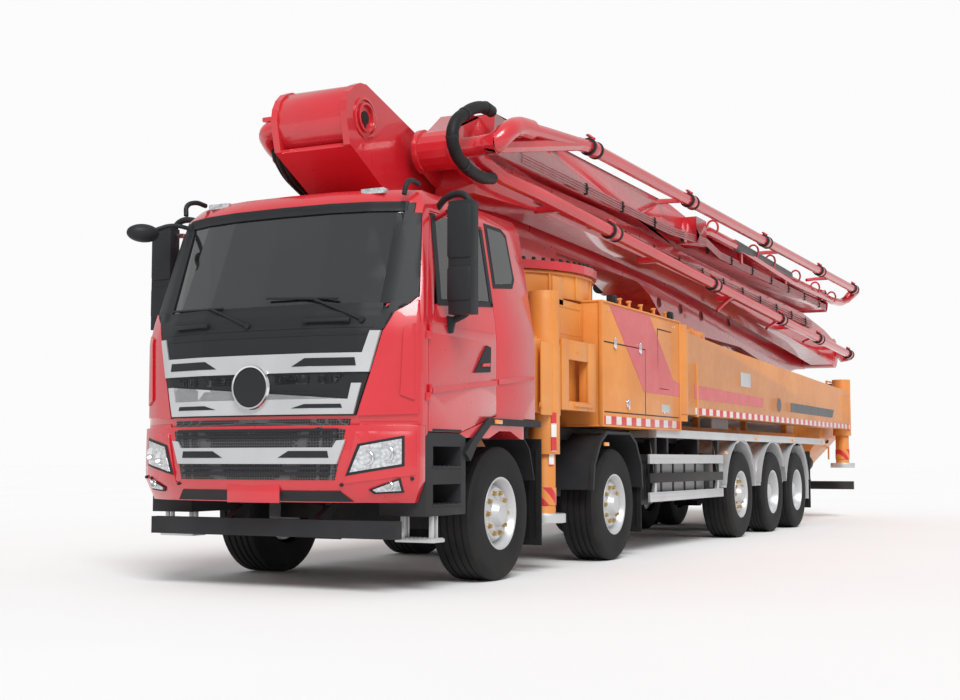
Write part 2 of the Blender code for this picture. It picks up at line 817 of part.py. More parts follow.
def turret():
    flange = upright_drum(0, slew_station, (drum_top + seat_gap, flange_top), ring_radius, 32)
    housing = block((-0.56, 0.56), (1.35, 3.15), (flange_top - 0.02, 3.04))
    end = bend(root_pivot, 0.28, 85, 200, 7, 0)
    arm = [(s, z) for _, s, z in end]
    arm += [(-0.97, 3.46), (-0.34, 3.14), (0.62, 3.12), (1.25, flange_top - 0.01), (3.12, flange_top - 0.01)]
    arm += [(3.12, 3.14), (1.60, 3.42), (0.20, 3.74)]
    arms = [side_plate(arm, (side * arm_inside, side * arm_outside)) for side in (-1, 1)]
    floor = (
        (-0.96, 3.45), (-0.34, 3.142), (0.62, 3.122), (1.25, 2.83),
        (1.25, 2.88), (0.64, 3.155), (-0.32, 3.175), (-0.94, 3.485),
    )
    floor_plate = side_plate(floor, (-0.35, 0.35))
    slot = block((-0.16, 0.16), (1.60, 3.30), (2.88, 3.30))
    base_pin = cross_drum((-0.31, 0.31), cylinder_base[0], cylinder_base[1], 0.045, 12)
    made = node("turret", "red_paint", [flange, housing] + arms + [floor_plate], [slot])
    combine(made, [base_pin], "UNION")
    made.data.materials.append(paint("red_paint"))
    return made


def hub(x, at, radius, sides=16):
    return cross_drum(x, at[0], at[1], radius, sides)


def boom_1():
    outline = (
        (-0.66, 3.96), (0.30, 3.68), (3.00, 3.58), (9.00, 3.46), (13.00, 3.36), (14.20, 3.10),
        (14.30, 2.62), (13.20, 2.46), (11.40, 2.55), (10.30, 2.68), (6.90, 2.70), (6.25, 3.04),
        (5.80, 3.16), (1.60, 3.19), (0.60, 3.27), (0.10, 3.30), (-0.55, 3.56),
    )
    beam = side_plate(outline, lane_1)
    root = hub((-arm_inside + seat_gap, arm_inside - seat_gap), root_pivot, root_radius)
    end = hub(lane_1, rear_pivot, hub_1_radius)
    slot = block((-0.14, 0.14), (-0.46, 2.60), (3.0, 3.62))
    eye_pins = [
        cross_drum((side * (0.08 + seat_gap), side * 0.20), cylinder_eye[0], cylinder_eye[1], 0.04, 12)
        for side in (-1, 1)
    ]
    pin_hole = hub((-0.4, 0.4), rear_pivot, 0.10, 16)
    x = -0.42
    route = [
        (x, root_pivot[0] + 0.55, 3.42), (x, 0.6, 3.31), (x, 2.0, 3.28), (x, 5.9, 3.26), (x, 13.0, 3.02),
        (x, rear_pivot[0] - 0.25, 2.93),
    ]
    line = pipe(route, 0.055)
    clamps = [
        block((x, -0.26), (s, s + 0.10), (z - 0.09, z + 0.03))
        for s, z in ((3.4, 3.30), (5.6, 3.30), (8.2, 3.24), (12.2, 3.08))
    ]
    made = node("boom_1", "red_paint", [beam, root, end, line] + clamps, [slot, pin_hole])
    combine(made, eye_pins, "UNION")
    made.data.materials.append(paint("red_paint"))
    return made


def line_holders(x, s_list, height, arm_x):
    """Short brackets that carry a delivery line beside a beam."""
    return [
        block((min(x, arm_x), max(x, arm_x)), (s, s + 0.10), (height(s) - 0.03, height(s) + 0.03))
        for s in s_list
    ]


def boom_2():
    outline = (
        (0.30, 3.585), (3.30, 3.585), (6.70, 3.48), (9.50, 3.40), (12.00, 3.35), (13.60, 3.20),
        (14.30, 3.08), (14.30, 2.64), (12.50, 2.78), (9.50, 3.00), (6.70, 3.19), (3.90, 3.27),
        (1.70, 3.31), (0.30, 3.25),
    )
    beam = side_plate(outline, lane_2)
    ear_thickness = 0.05
    inner_ear = (lane_2[0], lane_2[0] + ear_thickness)
    outer_ear = (lane_2[1] - ear_thickness, lane_2[1])
    ears = []
    for x in (inner_ear, outer_ear):
        ears.append(hub(x, neck_pivot, neck_radius + 0.02))
        ears.append(side_plate(
            ((0.05, 3.41), (0.45, 3.28), (0.45, 3.58), (0.30, 3.60), (0.05, 3.77)), x))
    end = hub((lane_1[1] + seat_gap, lane_2[1]), rear_pivot, hub_1_radius - 0.01)
    pin = hub((lane_1[0] + 0.02, lane_1[1] + 0.1), rear_pivot, 0.085, 16)

    def height(s):
        return 3.38 - 0.04 * s

    x = 1.10
    route = [
        (0.91, neck_pivot[0], neck_pivot[1]), (0.91, 0.22, 3.52), (0.98, 0.50, 3.41), (x, 1.0, height(1.0)),
        (x, 13.9, height(13.9)), (x - 0.01, 14.42, height(14.42)), (x - 0.07, 14.62, height(14.62)),
        (x - 0.20, 14.66, height(14.66)), (0.86, 14.52, rear_pivot[1]), (0.80, 14.42, rear_pivot[1]),
    ]
    line = pipe(route, pipe_radius)
    swivel = hub((0.80, 1.00 - seat_gap), neck_pivot, 0.085, 12)
    holders = line_holders(x, (1.6, 4.4, 7.4, 10.4, 13.2), height, lane_2[1] - 0.03)
    return node("boom_2", "red_paint", [beam, end, pin, line, swivel] + ears + holders)


def boom_3():
    outline = (
        (0.50, 3.98), (5.20, 3.96), (6.40, 3.84), (13.30, 3.80), (13.44, 3.66), (13.30, 3.50),
        (8.00, 3.56), (4.00, 3.615), (0.45, 3.625),
    )
    beam = side_plate(outline, lane_3)
    tongue_x = (lane_2[0] + 0.05 + seat_gap, lane_2[1] - 0.05 - seat_gap)
    tongue = hub(tongue_x, neck_pivot, neck_radius)
    neck = side_plate(((0.00, 3.62), (0.02, 3.74), (0.30, 3.95), (0.60, 3.96), (0.60, 3.64), (0.10, 3.62)), tongue_x)
    end = hub(lane_3, tail_pivot, tail_radius)
    top = 3.955
    side = 1.20
    route = [
        (1.10, neck_pivot[0], neck_pivot[1]), (1.12, 0.20, 3.61), (1.17, 0.90, 3.76), (side, 1.70, 3.93),
        (side, 1.95, top), (side, 14.35, top), (side - 0.02, 14.56, top - 0.01), (side - 0.12, 14.66, top - 0.04),
        (1.00, 14.60, top - 0.14), (0.96, 14.30, top - 0.22), (0.96, 13.6, top - 0.26), (0.96, 10.7, 3.70),
        (0.96, 7.7, 3.83), (0.96, 6.5, 3.84), (0.90, 6.1, 3.80),
    ]
    line = pipe(route, pipe_radius)
    swivel = hub((1.00, 1.16), neck_pivot, 0.085, 12)
    struts = [
        pipe(((0.85, s - 0.35, 3.90), (0.95, s - 0.20, 3.93), (side, s, top)), 0.028, 6)
        for s in (2.0, 5.0, 9.4, 12.6)
    ]
    holders = [block((0.80, 0.97), (s, s + 0.08), (3.62, 3.80)) for s in (8.0, 10.4, 12.8)]
    valve = block((0.80, 1.06), (5.75, 6.15), (3.58, 3.90))
    return node("boom_3", "red_paint", [beam, tongue, neck, end, line, swivel, valve] + struts + holders)


def boom_4():
    outline = (
        (3.60, 3.84), (13.10, 3.82), (13.30, 3.50), (9.0, 3.44), (3.60, 3.50),
    )
    beam = side_plate(outline, lane_4)
    rear_hub = hub(lane_4, tail_pivot, tail_radius)
    axle = hub((lane_4[1] - 0.05, lane_3[0] - seat_gap), tail_pivot, 0.12)
    front_hub = hub(lane_4, tip_pivot, tip_radius)
    x = -0.58
    line = pipe(
        [(x, 3.9, 3.82), (x, 4.2, 3.93), (x, 12.6, 3.93), (x, 13.0, 3.82)], pipe_radius,
    )
    holders = [block((x - 0.04, x + 0.04), (s, s + 0.08), (3.80, 3.90)) for s in (5.0, 7.8, 10.6)]
    return node("boom_4", "red_paint", [beam, rear_hub, axle, front_hub, line] + holders)


def boom_5():
    outline = (
        (3.60, 3.82), (12.60, 3.76), (12.70, 3.60), (3.60, 3.54),
    )
    beam = side_plate(outline, lane_5)
    front_hub = hub((lane_5[0], lane_4[0] - seat_gap), tip_pivot, tip_radius)
    x = -1.15
    line = pipe([(x + 0.10, 3.9, 3.68), (x, 4.2, 3.68), (x, 13.1, 3.68)], pipe_radius)
    holders = [block((x, lane_5[0] + 0.03), (s, s + 0.08), (3.65, 3.71)) for s in (5.0, 8.4, 11.8)]
    flange = cross_barrel(x, (13.08, 13.12), 3.68, pipe_radius + 0.02)
    return node("boom_5", "red_paint", [beam, front_hub, line, flange] + holders)


def lift_cylinder():
    base = np.array(cylinder_base)
    eye = np.array(cylinder_eye)
    along = (eye - base) / np.linalg.norm(eye - base)
    length = np.linalg.norm(eye - base)

    def at(distance, x=0.0):
        s, z = base + along * distance
        return (x, s, z)

    lug_radius = 0.085
    pin_hole_radius = 0.050
    tube = rod_between(at(0.055), at(barrel_length), barrel_radius, 14)
    foot = hub((-0.16 + seat_gap, 0.16 - seat_gap), cylinder_base, lug_radius, 14)
    foot_hole = hub((-0.2, 0.2), cylinder_base, pin_hole_radius, 12)
    mouth = rod_between(at(0.25), at(barrel_length + 0.1), rod_radius + 0.005, 12)
    barrel = node("lift_barrel", "red_paint", [tube, foot], [foot_hole, mouth])
    shaft = rod_between(at(0.25 + seat_gap), at(length - 0.06), rod_radius, 12)
    head = hub((-0.08, 0.08), cylinder_eye, lug_radius, 14)
    head_hole = hub((-0.2, 0.2), cylinder_eye, pin_hole_radius, 12)
    rod = node("lift_rod", "chrome", [shaft, head], [head_hole])
    return barrel, rod


def boom():
    slew = pivot("slew_axis", 0, slew_station, drum_top)
    hang(turret(), slew)
    barrel, rod = lift_cylinder()
    base = pivot("lift_base", 0, *cylinder_base, slew)
    hang(barrel, base)
    hang(rod, pivot("lift_slide", 0, *cylinder_eye, base))
    carried_by = slew
    for name, place, make in (
        ("root_axis", root_pivot, boom_1),
        ("rear_axis", rear_pivot, boom_2),
        ("neck_axis", neck_pivot, boom_3),
        ("tail_axis", tail_pivot, boom_4),
        ("tip_axis", tip_pivot, boom_5),
    ):
        carried_by = pivot(name, 0, *place, carried_by)
        hang(make(), carried_by)


clear_scene()
chassis()
running_gear()
cab()
superstructure()
outriggers()
side_guards()
hopper()
boom()
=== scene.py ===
import json
import math

import bmesh
import bpy
from mathutils import Matrix, Vector
from mathutils.bvhtree import BVHTree

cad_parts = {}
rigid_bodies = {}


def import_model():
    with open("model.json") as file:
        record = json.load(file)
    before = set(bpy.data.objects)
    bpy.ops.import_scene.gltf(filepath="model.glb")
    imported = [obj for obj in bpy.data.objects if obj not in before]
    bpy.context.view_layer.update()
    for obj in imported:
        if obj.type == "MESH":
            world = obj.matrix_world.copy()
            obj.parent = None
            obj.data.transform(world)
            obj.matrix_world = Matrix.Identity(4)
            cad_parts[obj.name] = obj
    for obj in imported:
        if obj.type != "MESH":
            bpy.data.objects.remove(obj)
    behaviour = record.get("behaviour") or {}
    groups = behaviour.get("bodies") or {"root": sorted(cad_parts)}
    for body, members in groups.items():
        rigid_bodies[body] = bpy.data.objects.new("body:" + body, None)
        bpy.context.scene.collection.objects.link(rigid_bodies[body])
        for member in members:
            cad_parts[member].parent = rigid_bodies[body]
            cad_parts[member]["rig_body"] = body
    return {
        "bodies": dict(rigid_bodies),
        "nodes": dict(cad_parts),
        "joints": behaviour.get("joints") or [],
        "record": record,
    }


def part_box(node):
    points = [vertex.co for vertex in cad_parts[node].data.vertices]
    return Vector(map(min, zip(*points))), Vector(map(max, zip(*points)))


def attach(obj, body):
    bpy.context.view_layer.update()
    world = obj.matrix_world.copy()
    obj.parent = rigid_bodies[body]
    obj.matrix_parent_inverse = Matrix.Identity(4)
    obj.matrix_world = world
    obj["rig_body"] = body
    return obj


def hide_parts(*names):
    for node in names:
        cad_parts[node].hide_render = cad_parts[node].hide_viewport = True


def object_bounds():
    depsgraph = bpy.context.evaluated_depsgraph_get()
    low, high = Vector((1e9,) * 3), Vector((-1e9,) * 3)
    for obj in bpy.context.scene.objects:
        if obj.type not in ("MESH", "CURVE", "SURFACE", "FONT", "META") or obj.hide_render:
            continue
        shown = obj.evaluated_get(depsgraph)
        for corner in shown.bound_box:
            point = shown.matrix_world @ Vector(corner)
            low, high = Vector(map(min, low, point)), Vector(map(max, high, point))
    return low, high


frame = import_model()
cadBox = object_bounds()
frontAxle = sum(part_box("wheel_1_left"), Vector()) / 2
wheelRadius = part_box("wheel_1_left")[1].z / 2


def at(x, back, z):  # a place from metres left of the middle, metres behind the front axle, and height
    return Vector((x, frontAxle.y + back, z))


class Value:
    def __init__(self, finish, socket):
        self.finish = finish
        self.socket = socket

    def join(self, operation, first, second):
        return self.finish.add("Math", {"operation": operation}, [first, second])

    def __add__(self, other):
        return self.join("ADD", self, other)

    def __radd__(self, other):
        return self.join("ADD", other, self)

    def __sub__(self, other):
        return self.join("SUBTRACT", self, other)

    def __rsub__(self, other):
        return self.join("SUBTRACT", other, self)

    def __mul__(self, other):
        return self.join("MULTIPLY", self, other)

    def __rmul__(self, other):
        return self.join("MULTIPLY", other, self)

    def __truediv__(self, other):
        return self.join("DIVIDE", self, other)

    def __gt__(self, other):
        return self.join("GREATER_THAN", self, other)

    def __lt__(self, other):
        return self.join("LESS_THAN", self, other)


class Finish:
    def __init__(self, name, colour, roughness, metallic=0.0, **constants):
        self.material = bpy.data.materials.new(name)
        self.material.use_nodes = True
        self.tree = self.material.node_tree
        self.shader = self.tree.nodes["Principled BSDF"]
        self.set("Base Color", (*colour, 1))
        self.set("Roughness", roughness)
        self.set("Metallic", metallic)
        for socket, value in constants.items():
            self.set(socket.replace("_", " "), value)
        self.material.diffuse_color = (*colour, 1)

    def set(self, socket, value):
        target = self.shader.inputs[socket]
        if isinstance(value, Value):
            self.tree.links.new(value.socket, target)
        else:
            target.default_value = value

    def add(self, kind, settings=None, inputs=(), output=0):
        made = self.tree.nodes.new("ShaderNode" + kind)
        for key, value in (settings or {}).items():
            if key == "stops":
                for spot, (place, colour) in enumerate(value):
                    ramp = made.color_ramp.elements
                    stop = ramp[spot] if spot < 2 else ramp.new(place)
                    stop.position = place
                    stop.color = colour
            else:
                setattr(made, key, value)
        pairs = inputs.items() if isinstance(inputs, dict) else enumerate(inputs)
        for key, value in pairs:
            if isinstance(value, Value):
                self.tree.links.new(value.socket, made.inputs[key])
            else:
                made.inputs[key].default_value = value
        return Value(self, made.outputs[output])

    def place(self, scale=(1, 1, 1)):
        spot = self.add("TexCoord", output="Object")
        return self.add("Mapping", {}, {"Vector": spot, "Scale": scale})

    def noise(self, size, detail=3.0, stretch=(1, 1, 1)):
        return self.add("TexNoise", {}, {"Vector": self.place(stretch), "Scale": 1 / size, "Detail": detail})

    def between(self, value, low, high):  # 0 below low, 1 above high
        return self.add("MapRange", {"clamp": True}, {"Value": value, "From Min": low, "From Max": high})

    def axis(self, name):
        spot = self.add("TexCoord", output="Object")
        return self.add("SeparateXYZ", {}, [spot], output=name)

    def mixed(self, share, first, second):
        inputs = {0: share, 6: first, 7: second}
        return self.add("Mix", {"data_type": "RGBA"}, inputs, output=2)

    def bumped(self, height, strength, depth):
        bump = self.add("Bump", {}, {"Height": height, "Strength": strength, "Distance": depth})
        self.set("Normal", bump)


def rgb(r, g, b):
    return (r, g, b, 1)


def dusted(finish, colour, dust, low, high, most=0.6):
    height = finish.axis("Z")
    lower = 1 - finish.between(height, low, high)
    share = lower * finish.between(finish.noise(0.35, 6), 0.35, 0.7) * most
    finish.set("Base Color", finish.mixed(share, colour, dust))
    return share


def makeFinishes():
    made = {}

    red = Finish("redPaint", (0.60, 0.012, 0.022), 0.25, Coat_Weight=0.9, Coat_Roughness=0.06)
    tone = red.between(red.noise(0.9, 4), 0.3, 0.7)
    clean = red.mixed(tone, rgb(0.56, 0.010, 0.020), rgb(0.66, 0.022, 0.034))
    grime = red.between(red.noise(0.05, 8, (1, 0.25, 2)), 0.58, 0.80) * 0.35
    red.set("Base Color", red.mixed(grime, clean, rgb(0.36, 0.03, 0.03)))
    red.set("Roughness", 0.20 + red.noise(0.12, 5) * 0.22)
    red.bumped(red.noise(0.02, 2), 0.05, 0.002)
    made["red_paint"] = red

    orange = Finish("orangePaint", (0.72, 0.26, 0.045), 0.45, Coat_Weight=0.25)
    tone = orange.between(orange.noise(0.7, 5), 0.3, 0.7)
    clean = orange.mixed(tone, rgb(0.66, 0.22, 0.035), rgb(0.78, 0.30, 0.06))
    worn = orange.between(orange.noise(0.22, 7, (1, 0.5, 1.6)), 0.60, 0.78) * 0.16
    faded = orange.mixed(worn, clean, rgb(0.80, 0.46, 0.22))
    streak = orange.between(orange.noise(0.05, 6, (1, 1, 0.12)), 0.58, 0.82) * 0.22
    orange.set("Base Color", orange.mixed(streak, faded, rgb(0.30, 0.14, 0.05)))
    orange.set("Roughness", 0.34 + orange.noise(0.1, 6) * 0.34)
    orange.bumped(orange.noise(0.015, 3), 0.10, 0.002)
    made["orange_paint"] = orange

    silver = Finish("silverPaint", (0.60, 0.61, 0.62), 0.35, 0.45)
    tone = silver.between(silver.noise(0.5, 3), 0.3, 0.75)
    silver.set("Base Color", silver.mixed(tone, rgb(0.62, 0.63, 0.64), rgb(0.54, 0.545, 0.55)))
    silver.set("Roughness", 0.30 + silver.noise(0.03, 6, (1, 0.2, 1)) * 0.16)
    silver.bumped(silver.noise(0.006, 4, (1, 0.1, 1)), 0.08, 0.001)
    made["silver_paint"] = silver

    steel = Finish("darkSteel", (0.035, 0.035, 0.038), 0.55, 0.2, Specular_IOR_Level=0.25)
    share = dusted(steel, rgb(0.018, 0.018, 0.020), rgb(0.10, 0.088, 0.075), 0.2, 1.5)
    steel.set("Roughness", 0.45 + share * 0.5)
    steel.bumped(steel.noise(0.01, 6), 0.08, 0.002)
    made["dark_steel"] = steel

    plastic = Finish("charcoalPlastic", (0.045, 0.046, 0.05), 0.6, Specular_IOR_Level=0.25)
    share = dusted(plastic, rgb(0.020, 0.021, 0.024), rgb(0.070, 0.066, 0.062), 0.4, 1.6, 0.30)
    plastic.set("Roughness", 0.50 + share * 0.8)
    plastic.bumped(plastic.noise(0.002, 2), 0.25, 0.0006)
    made["dark_plastic"] = plastic

    rubber = Finish("tyreRubber", (0.022, 0.022, 0.023), 0.8, Specular_IOR_Level=0.2)
    share = dusted(rubber, rgb(0.012, 0.012, 0.013), rgb(0.060, 0.055, 0.050), 0.0, 1.3, 0.45)
    rubber.set("Roughness", 0.66 + share * 0.3)
    rubber.bumped(rubber.noise(0.004, 6), 0.3, 0.002)
    made["tyre"] = rubber

    chrome = Finish("chrome", (0.80, 0.80, 0.81), 0.08, 1.0)
    chrome.set("Roughness", 0.05 + chrome.noise(0.04, 5) * 0.14)
    made["chrome"] = chrome

    glass = Finish("tintedGlass", (0.014, 0.016, 0.018), 0.04, Coat_Weight=1.0, Coat_Roughness=0.02)
    haze = glass.between(glass.noise(0.3, 5), 0.45, 0.8)
    glass.set("Roughness", 0.03 + haze * 0.10)
    glass.set("Alpha", 0.90 + haze * 0.05)
    made["glass"] = glass

    cloth = Finish("seatCloth", (0.05, 0.05, 0.055), 0.95)
    weave = cloth.add("TexWave", {"wave_type": "BANDS"}, {"Vector": cloth.place(), "Scale": 120.0,
                                                          "Distortion": 1.0})
    cloth.set("Base Color", cloth.mixed(weave, rgb(0.035, 0.035, 0.04), rgb(0.08, 0.08, 0.09)))
    cloth.bumped(weave, 0.3, 0.002)
    made["cloth"] = cloth

    gold = Finish("wheelNut", (0.55, 0.40, 0.18), 0.3, 0.9)
    gold.set("Roughness", 0.22 + gold.noise(0.01, 4) * 0.3)
    made["gold"] = gold

    hose = Finish("hoseRubber", (0.02, 0.02, 0.022), 0.5, Specular_IOR_Level=0.25)
    hose.set("Base Color", hose.mixed(hose.noise(0.05, 4), rgb(0.006, 0.006, 0.007),
                                      rgb(0.016, 0.016, 0.017)))
    hose.set("Roughness", 0.38 + hose.noise(0.03, 5) * 0.3)
    hose.bumped(hose.noise(0.003, 3), 0.3, 0.001)
    made["hose"] = hose

    bands = Finish("hazardBands", (0.7, 0.05, 0.05), 0.3, Coat_Weight=0.4)
    stripe = bands.add("Math", {"operation": "PINGPONG"}, [bands.axis("Y"), 0.14]) > 0.07
    fade = bands.noise(0.05, 5)
    pale = bands.mixed(fade, rgb(0.80, 0.78, 0.76), rgb(0.62, 0.58, 0.55))
    bands.set("Base Color", bands.mixed(stripe, pale, rgb(0.62, 0.03, 0.035)))
    bands.set("Roughness", 0.25 + fade * 0.3)
    made["bands"] = bands

    legBands = Finish("legBands", (0.7, 0.2, 0.05), 0.35, Coat_Weight=0.3)
    slope = legBands.axis("Y") + legBands.axis("Z") + legBands.axis("X") * 0.6
    stripe = legBands.add("Math", {"operation": "PINGPONG"}, [slope, 0.09]) > 0.045
    legBands.set("Base Color", legBands.mixed(stripe, rgb(0.74, 0.26, 0.05), rgb(0.60, 0.02, 0.03)))
    legBands.set("Roughness", 0.3 + legBands.noise(0.05, 5) * 0.2)
    made["leg_bands"] = legBands

    stripe = Finish("sideStripe", (0.62, 0.10, 0.11), 0.4, Coat_Weight=0.35)
    tone = stripe.between(stripe.noise(0.5, 4), 0.3, 0.7)
    stripe.set("Base Color", stripe.mixed(tone, rgb(0.58, 0.075, 0.085), rgb(0.66, 0.12, 0.125)))
    stripe.set("Roughness", 0.30 + stripe.noise(0.1, 5) * 0.25)
    made["side_stripe"] = stripe

    tank = Finish("tankAlloy", (0.30, 0.30, 0.31), 0.4, 0.5)
    tone = tank.between(tank.noise(0.1, 6, (1, 0.3, 1)), 0.3, 0.7)
    tank.set("Base Color", tank.mixed(tone, rgb(0.26, 0.26, 0.27), rgb(0.34, 0.34, 0.35)))
    tank.set("Roughness", 0.35 + tone * 0.15)
    made["tank"] = tank

    line = Finish("lineSteel", (0.45, 0.16, 0.16), 0.35, 0.4)
    line.set("Base Color", line.mixed(line.noise(0.1, 4), rgb(0.48, 0.10, 0.11), rgb(0.50, 0.30, 0.30)))
    line.set("Roughness", 0.25 + line.noise(0.05, 4) * 0.2)
    made["line_steel"] = line

    sleeve = Finish("sleeveGrey", (0.10, 0.105, 0.11), 0.5)
    sleeve.set("Base Color", sleeve.mixed(sleeve.noise(0.2, 5), rgb(0.08, 0.085, 0.09),
                                          rgb(0.14, 0.145, 0.15)))
    sleeve.set("Roughness", 0.40 + sleeve.noise(0.05, 5) * 0.25)
    made["sleeve_grey"] = sleeve

    strips = Finish("legStrips", (0.7, 0.2, 0.2), 0.3, Coat_Weight=0.4)
    stripe = strips.add("Math", {"operation": "PINGPONG"}, [strips.axis("Z") - 0.93, 0.12]) > 0.118
    part = strips.add("Math", {"operation": "FLOOR"}, [(strips.axis("Z") - 0.93) / 0.12])
    odd = strips.add("Math", {"operation": "PINGPONG"}, [part, 1.0]) > 0.5
    strips.set("Base Color", strips.mixed(odd, rgb(0.80, 0.78, 0.76), rgb(0.60, 0.03, 0.035)))
    strips.set("Roughness", 0.25 + strips.noise(0.05, 5) * 0.3 + stripe * 0.1)
    made["leg_strips"] = strips

    lens = Finish("redLens", (0.55, 0.01, 0.01), 0.15, Coat_Weight=1.0)
    ribs = lens.add("TexWave", {"wave_type": "BANDS"}, {"Vector": lens.place(), "Scale": 30.0})
    lens.set("Base Color", lens.mixed(ribs, rgb(0.45, 0.008, 0.01), rgb(0.65, 0.02, 0.02)))
    lens.bumped(ribs, 0.4, 0.003)
    made["lens_red"] = lens

    amber = Finish("amberLens", (0.85, 0.28, 0.02), 0.15, Coat_Weight=1.0)
    ribs = amber.add("TexWave", {"wave_type": "BANDS"}, {"Vector": amber.place(), "Scale": 30.0})
    amber.set("Base Color", amber.mixed(ribs, rgb(0.85, 0.25, 0.02), rgb(0.95, 0.42, 0.06)))
    amber.bumped(ribs, 0.4, 0.003)
    made["amber"] = amber

    lamp = Finish("lampGlass", (0.72, 0.74, 0.76), 0.06, 0.35, Coat_Weight=1.0)
    cells = lamp.add("TexVoronoi", {}, {"Vector": lamp.place(), "Scale": 40.0})
    lamp.set("Base Color", lamp.mixed(cells, rgb(0.80, 0.82, 0.84), rgb(0.34, 0.36, 0.38)))
    lamp.bumped(cells, 0.5, 0.004)
    made["lamp"] = lamp

    mesh = Finish("grilleMesh", (0.02, 0.02, 0.022), 0.5)
    cells = mesh.add("TexVoronoi", {"feature": "DISTANCE_TO_EDGE"},
                     {"Vector": mesh.place(), "Scale": 46.0, "Randomness": 0.15})
    # painted shade: the cell centres are the mesh's openings, painted near-black for the shaded space behind
    # the grille; the bump sinks them
    hole_shade = mesh.between(cells, 0.08, 0.16)
    mesh.set("Base Color", mesh.mixed(hole_shade, rgb(0.09, 0.09, 0.095), rgb(0.008, 0.008, 0.009)))
    mesh.bumped(1 - hole_shade, 0.8, 0.006)
    made["mesh"] = mesh

    return {name: finish.material for name, finish in made.items()}


finishes = makeFinishes()
print("finishes made:", len(finishes))


def finished(bm, name, finish, body, slot=None, angle=32):
    mesh = bpy.data.meshes.new(name)
    bm.to_mesh(mesh)
    bm.free()
    piece = bpy.data.objects.new(name, mesh)
    bpy.context.scene.collection.objects.link(piece)
    mesh.materials.append(finishes[finish])
    mesh.shade_smooth()
    mesh.set_sharp_from_angle(angle=math.radians(angle))
    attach(piece, body)
    slot or finish in frame["slotNames"]
    return piece


frame["slotNames"] = {entry["slot"] for entry in frame["record"]["materials"]}


def addBlock(bm, low, high, edge=0.004, turn=None):
    low, high = Vector(low), Vector(high)
    low, high = Vector(map(min, low, high)), Vector(map(max, low, high))
    size = high - low
    new = bmesh.ops.create_cube(bm, size=1)["verts"]
    bmesh.ops.scale(bm, vec=size, verts=new)
    if edge:
        edges = list({e for v in new for e in v.link_edges})
        width = min(edge, min(size) * 0.4)
        bevelled = bmesh.ops.bevel(bm, geom=edges, offset=width, segments=2, profile=0.5, material=-1,
                                   affect="EDGES")
        new = list({v for f in bevelled["faces"] for v in f.verts} | {v for v in new if v.is_valid})
    if turn:
        bmesh.ops.rotate(bm, cent=(0, 0, 0), matrix=turn, verts=new)
    bmesh.ops.translate(bm, vec=(low + high) / 2, verts=new)
    return new


def addRod(bm, start, end, radius, sides=16, edge=0.0):
    start, end = Vector(start), Vector(end)
    along = end - start
    turn = along.to_track_quat("Z", "Y").to_matrix().to_4x4()
    place = Matrix.Translation((start + end) / 2) @ turn
    new = bmesh.ops.create_cone(bm, cap_ends=True, segments=sides, radius1=radius, radius2=radius,
                                depth=along.length, matrix=place)["verts"]
    if edge:
        rims = [e for e in {e for v in new for e in v.link_edges}
                if abs((e.verts[0].co - e.verts[1].co).normalized().dot(along.normalized())) < 0.5]
        bmesh.ops.bevel(bm, geom=rims, offset=edge, segments=2, profile=0.5, material=-1, affect="EDGES")
    return new


def addSpin(bm, profile, centre, steps, axis=(1, 0, 0)):
    centre = Vector(centre)
    axis = Vector(axis)
    out = Vector((0, 0, 1)) if abs(axis.z) < 0.5 else Vector((1, 0, 0))
    verts = [bm.verts.new(centre + axis * along + out * radius) for radius, along in profile]
    edges = [bm.edges.new(pair) for pair in zip(verts, verts[1:])]
    bmesh.ops.spin(bm, geom=verts + edges, cent=centre, axis=axis, angle=2 * math.pi, steps=steps,
                   use_merge=True)
    return verts


def closeUp(bm):
    bmesh.ops.remove_doubles(bm, verts=bm.verts, dist=0.00005)
    bmesh.ops.recalc_face_normals(bm, faces=bm.faces)


def tubes(name, routes, radius, finish, body, slot=None, smooth=True, sides=3):
    data = bpy.data.curves.new(name, "CURVE")
    data.dimensions = "3D"
    data.bevel_depth = radius
    data.bevel_resolution = sides
    data.use_fill_caps = True
    data.resolution_u = 6
    for route in routes:
        spline = data.splines.new("BEZIER" if smooth else "POLY")
        points = spline.bezier_points if smooth else spline.points
        points.add(len(route) - 1)
        for spot, place in zip(points, route):
            if smooth:
                spot.co = place
                spot.handle_left_type = "AUTO"
                spot.handle_right_type = "AUTO"
            else:
                spot.co = (*place, 1)
    line = bpy.data.objects.new(name + "Line", data)
    bpy.context.scene.collection.objects.link(line)
    bpy.context.view_layer.update()
    mesh = bpy.data.meshes.new_from_object(line.evaluated_get(bpy.context.evaluated_depsgraph_get()))
    bm = bmesh.new()
    bm.from_mesh(mesh)
    bpy.data.objects.remove(line)
    bpy.data.meshes.remove(mesh)
    closeUp(bm)
    return finished(bm, name, finish, body, slot, 45)


def copyOf(node, merge, width):  # the node's mesh with its flats merged and its sharp edges rounded
    bm = bmesh.new()
    bm.from_mesh(frame["nodes"][node].data)
    bmesh.ops.remove_doubles(bm, verts=bm.verts, dist=0.00005)
    if merge:
        bmesh.ops.dissolve_limit(bm, angle_limit=math.radians(1.0), verts=bm.verts, edges=bm.edges)
    if width:
        sharp = [e for e in bm.edges if len(e.link_faces) == 2 and e.calc_face_angle(0) > math.radians(38)]
        bmesh.ops.bevel(bm, geom=sharp, offset=width, segments=2, profile=0.5, material=-1, affect="EDGES",
                        clamp_overlap=True)
    bmesh.ops.triangulate(bm, faces=[f for f in bm.faces if len(f.verts) > 4])
    return bm


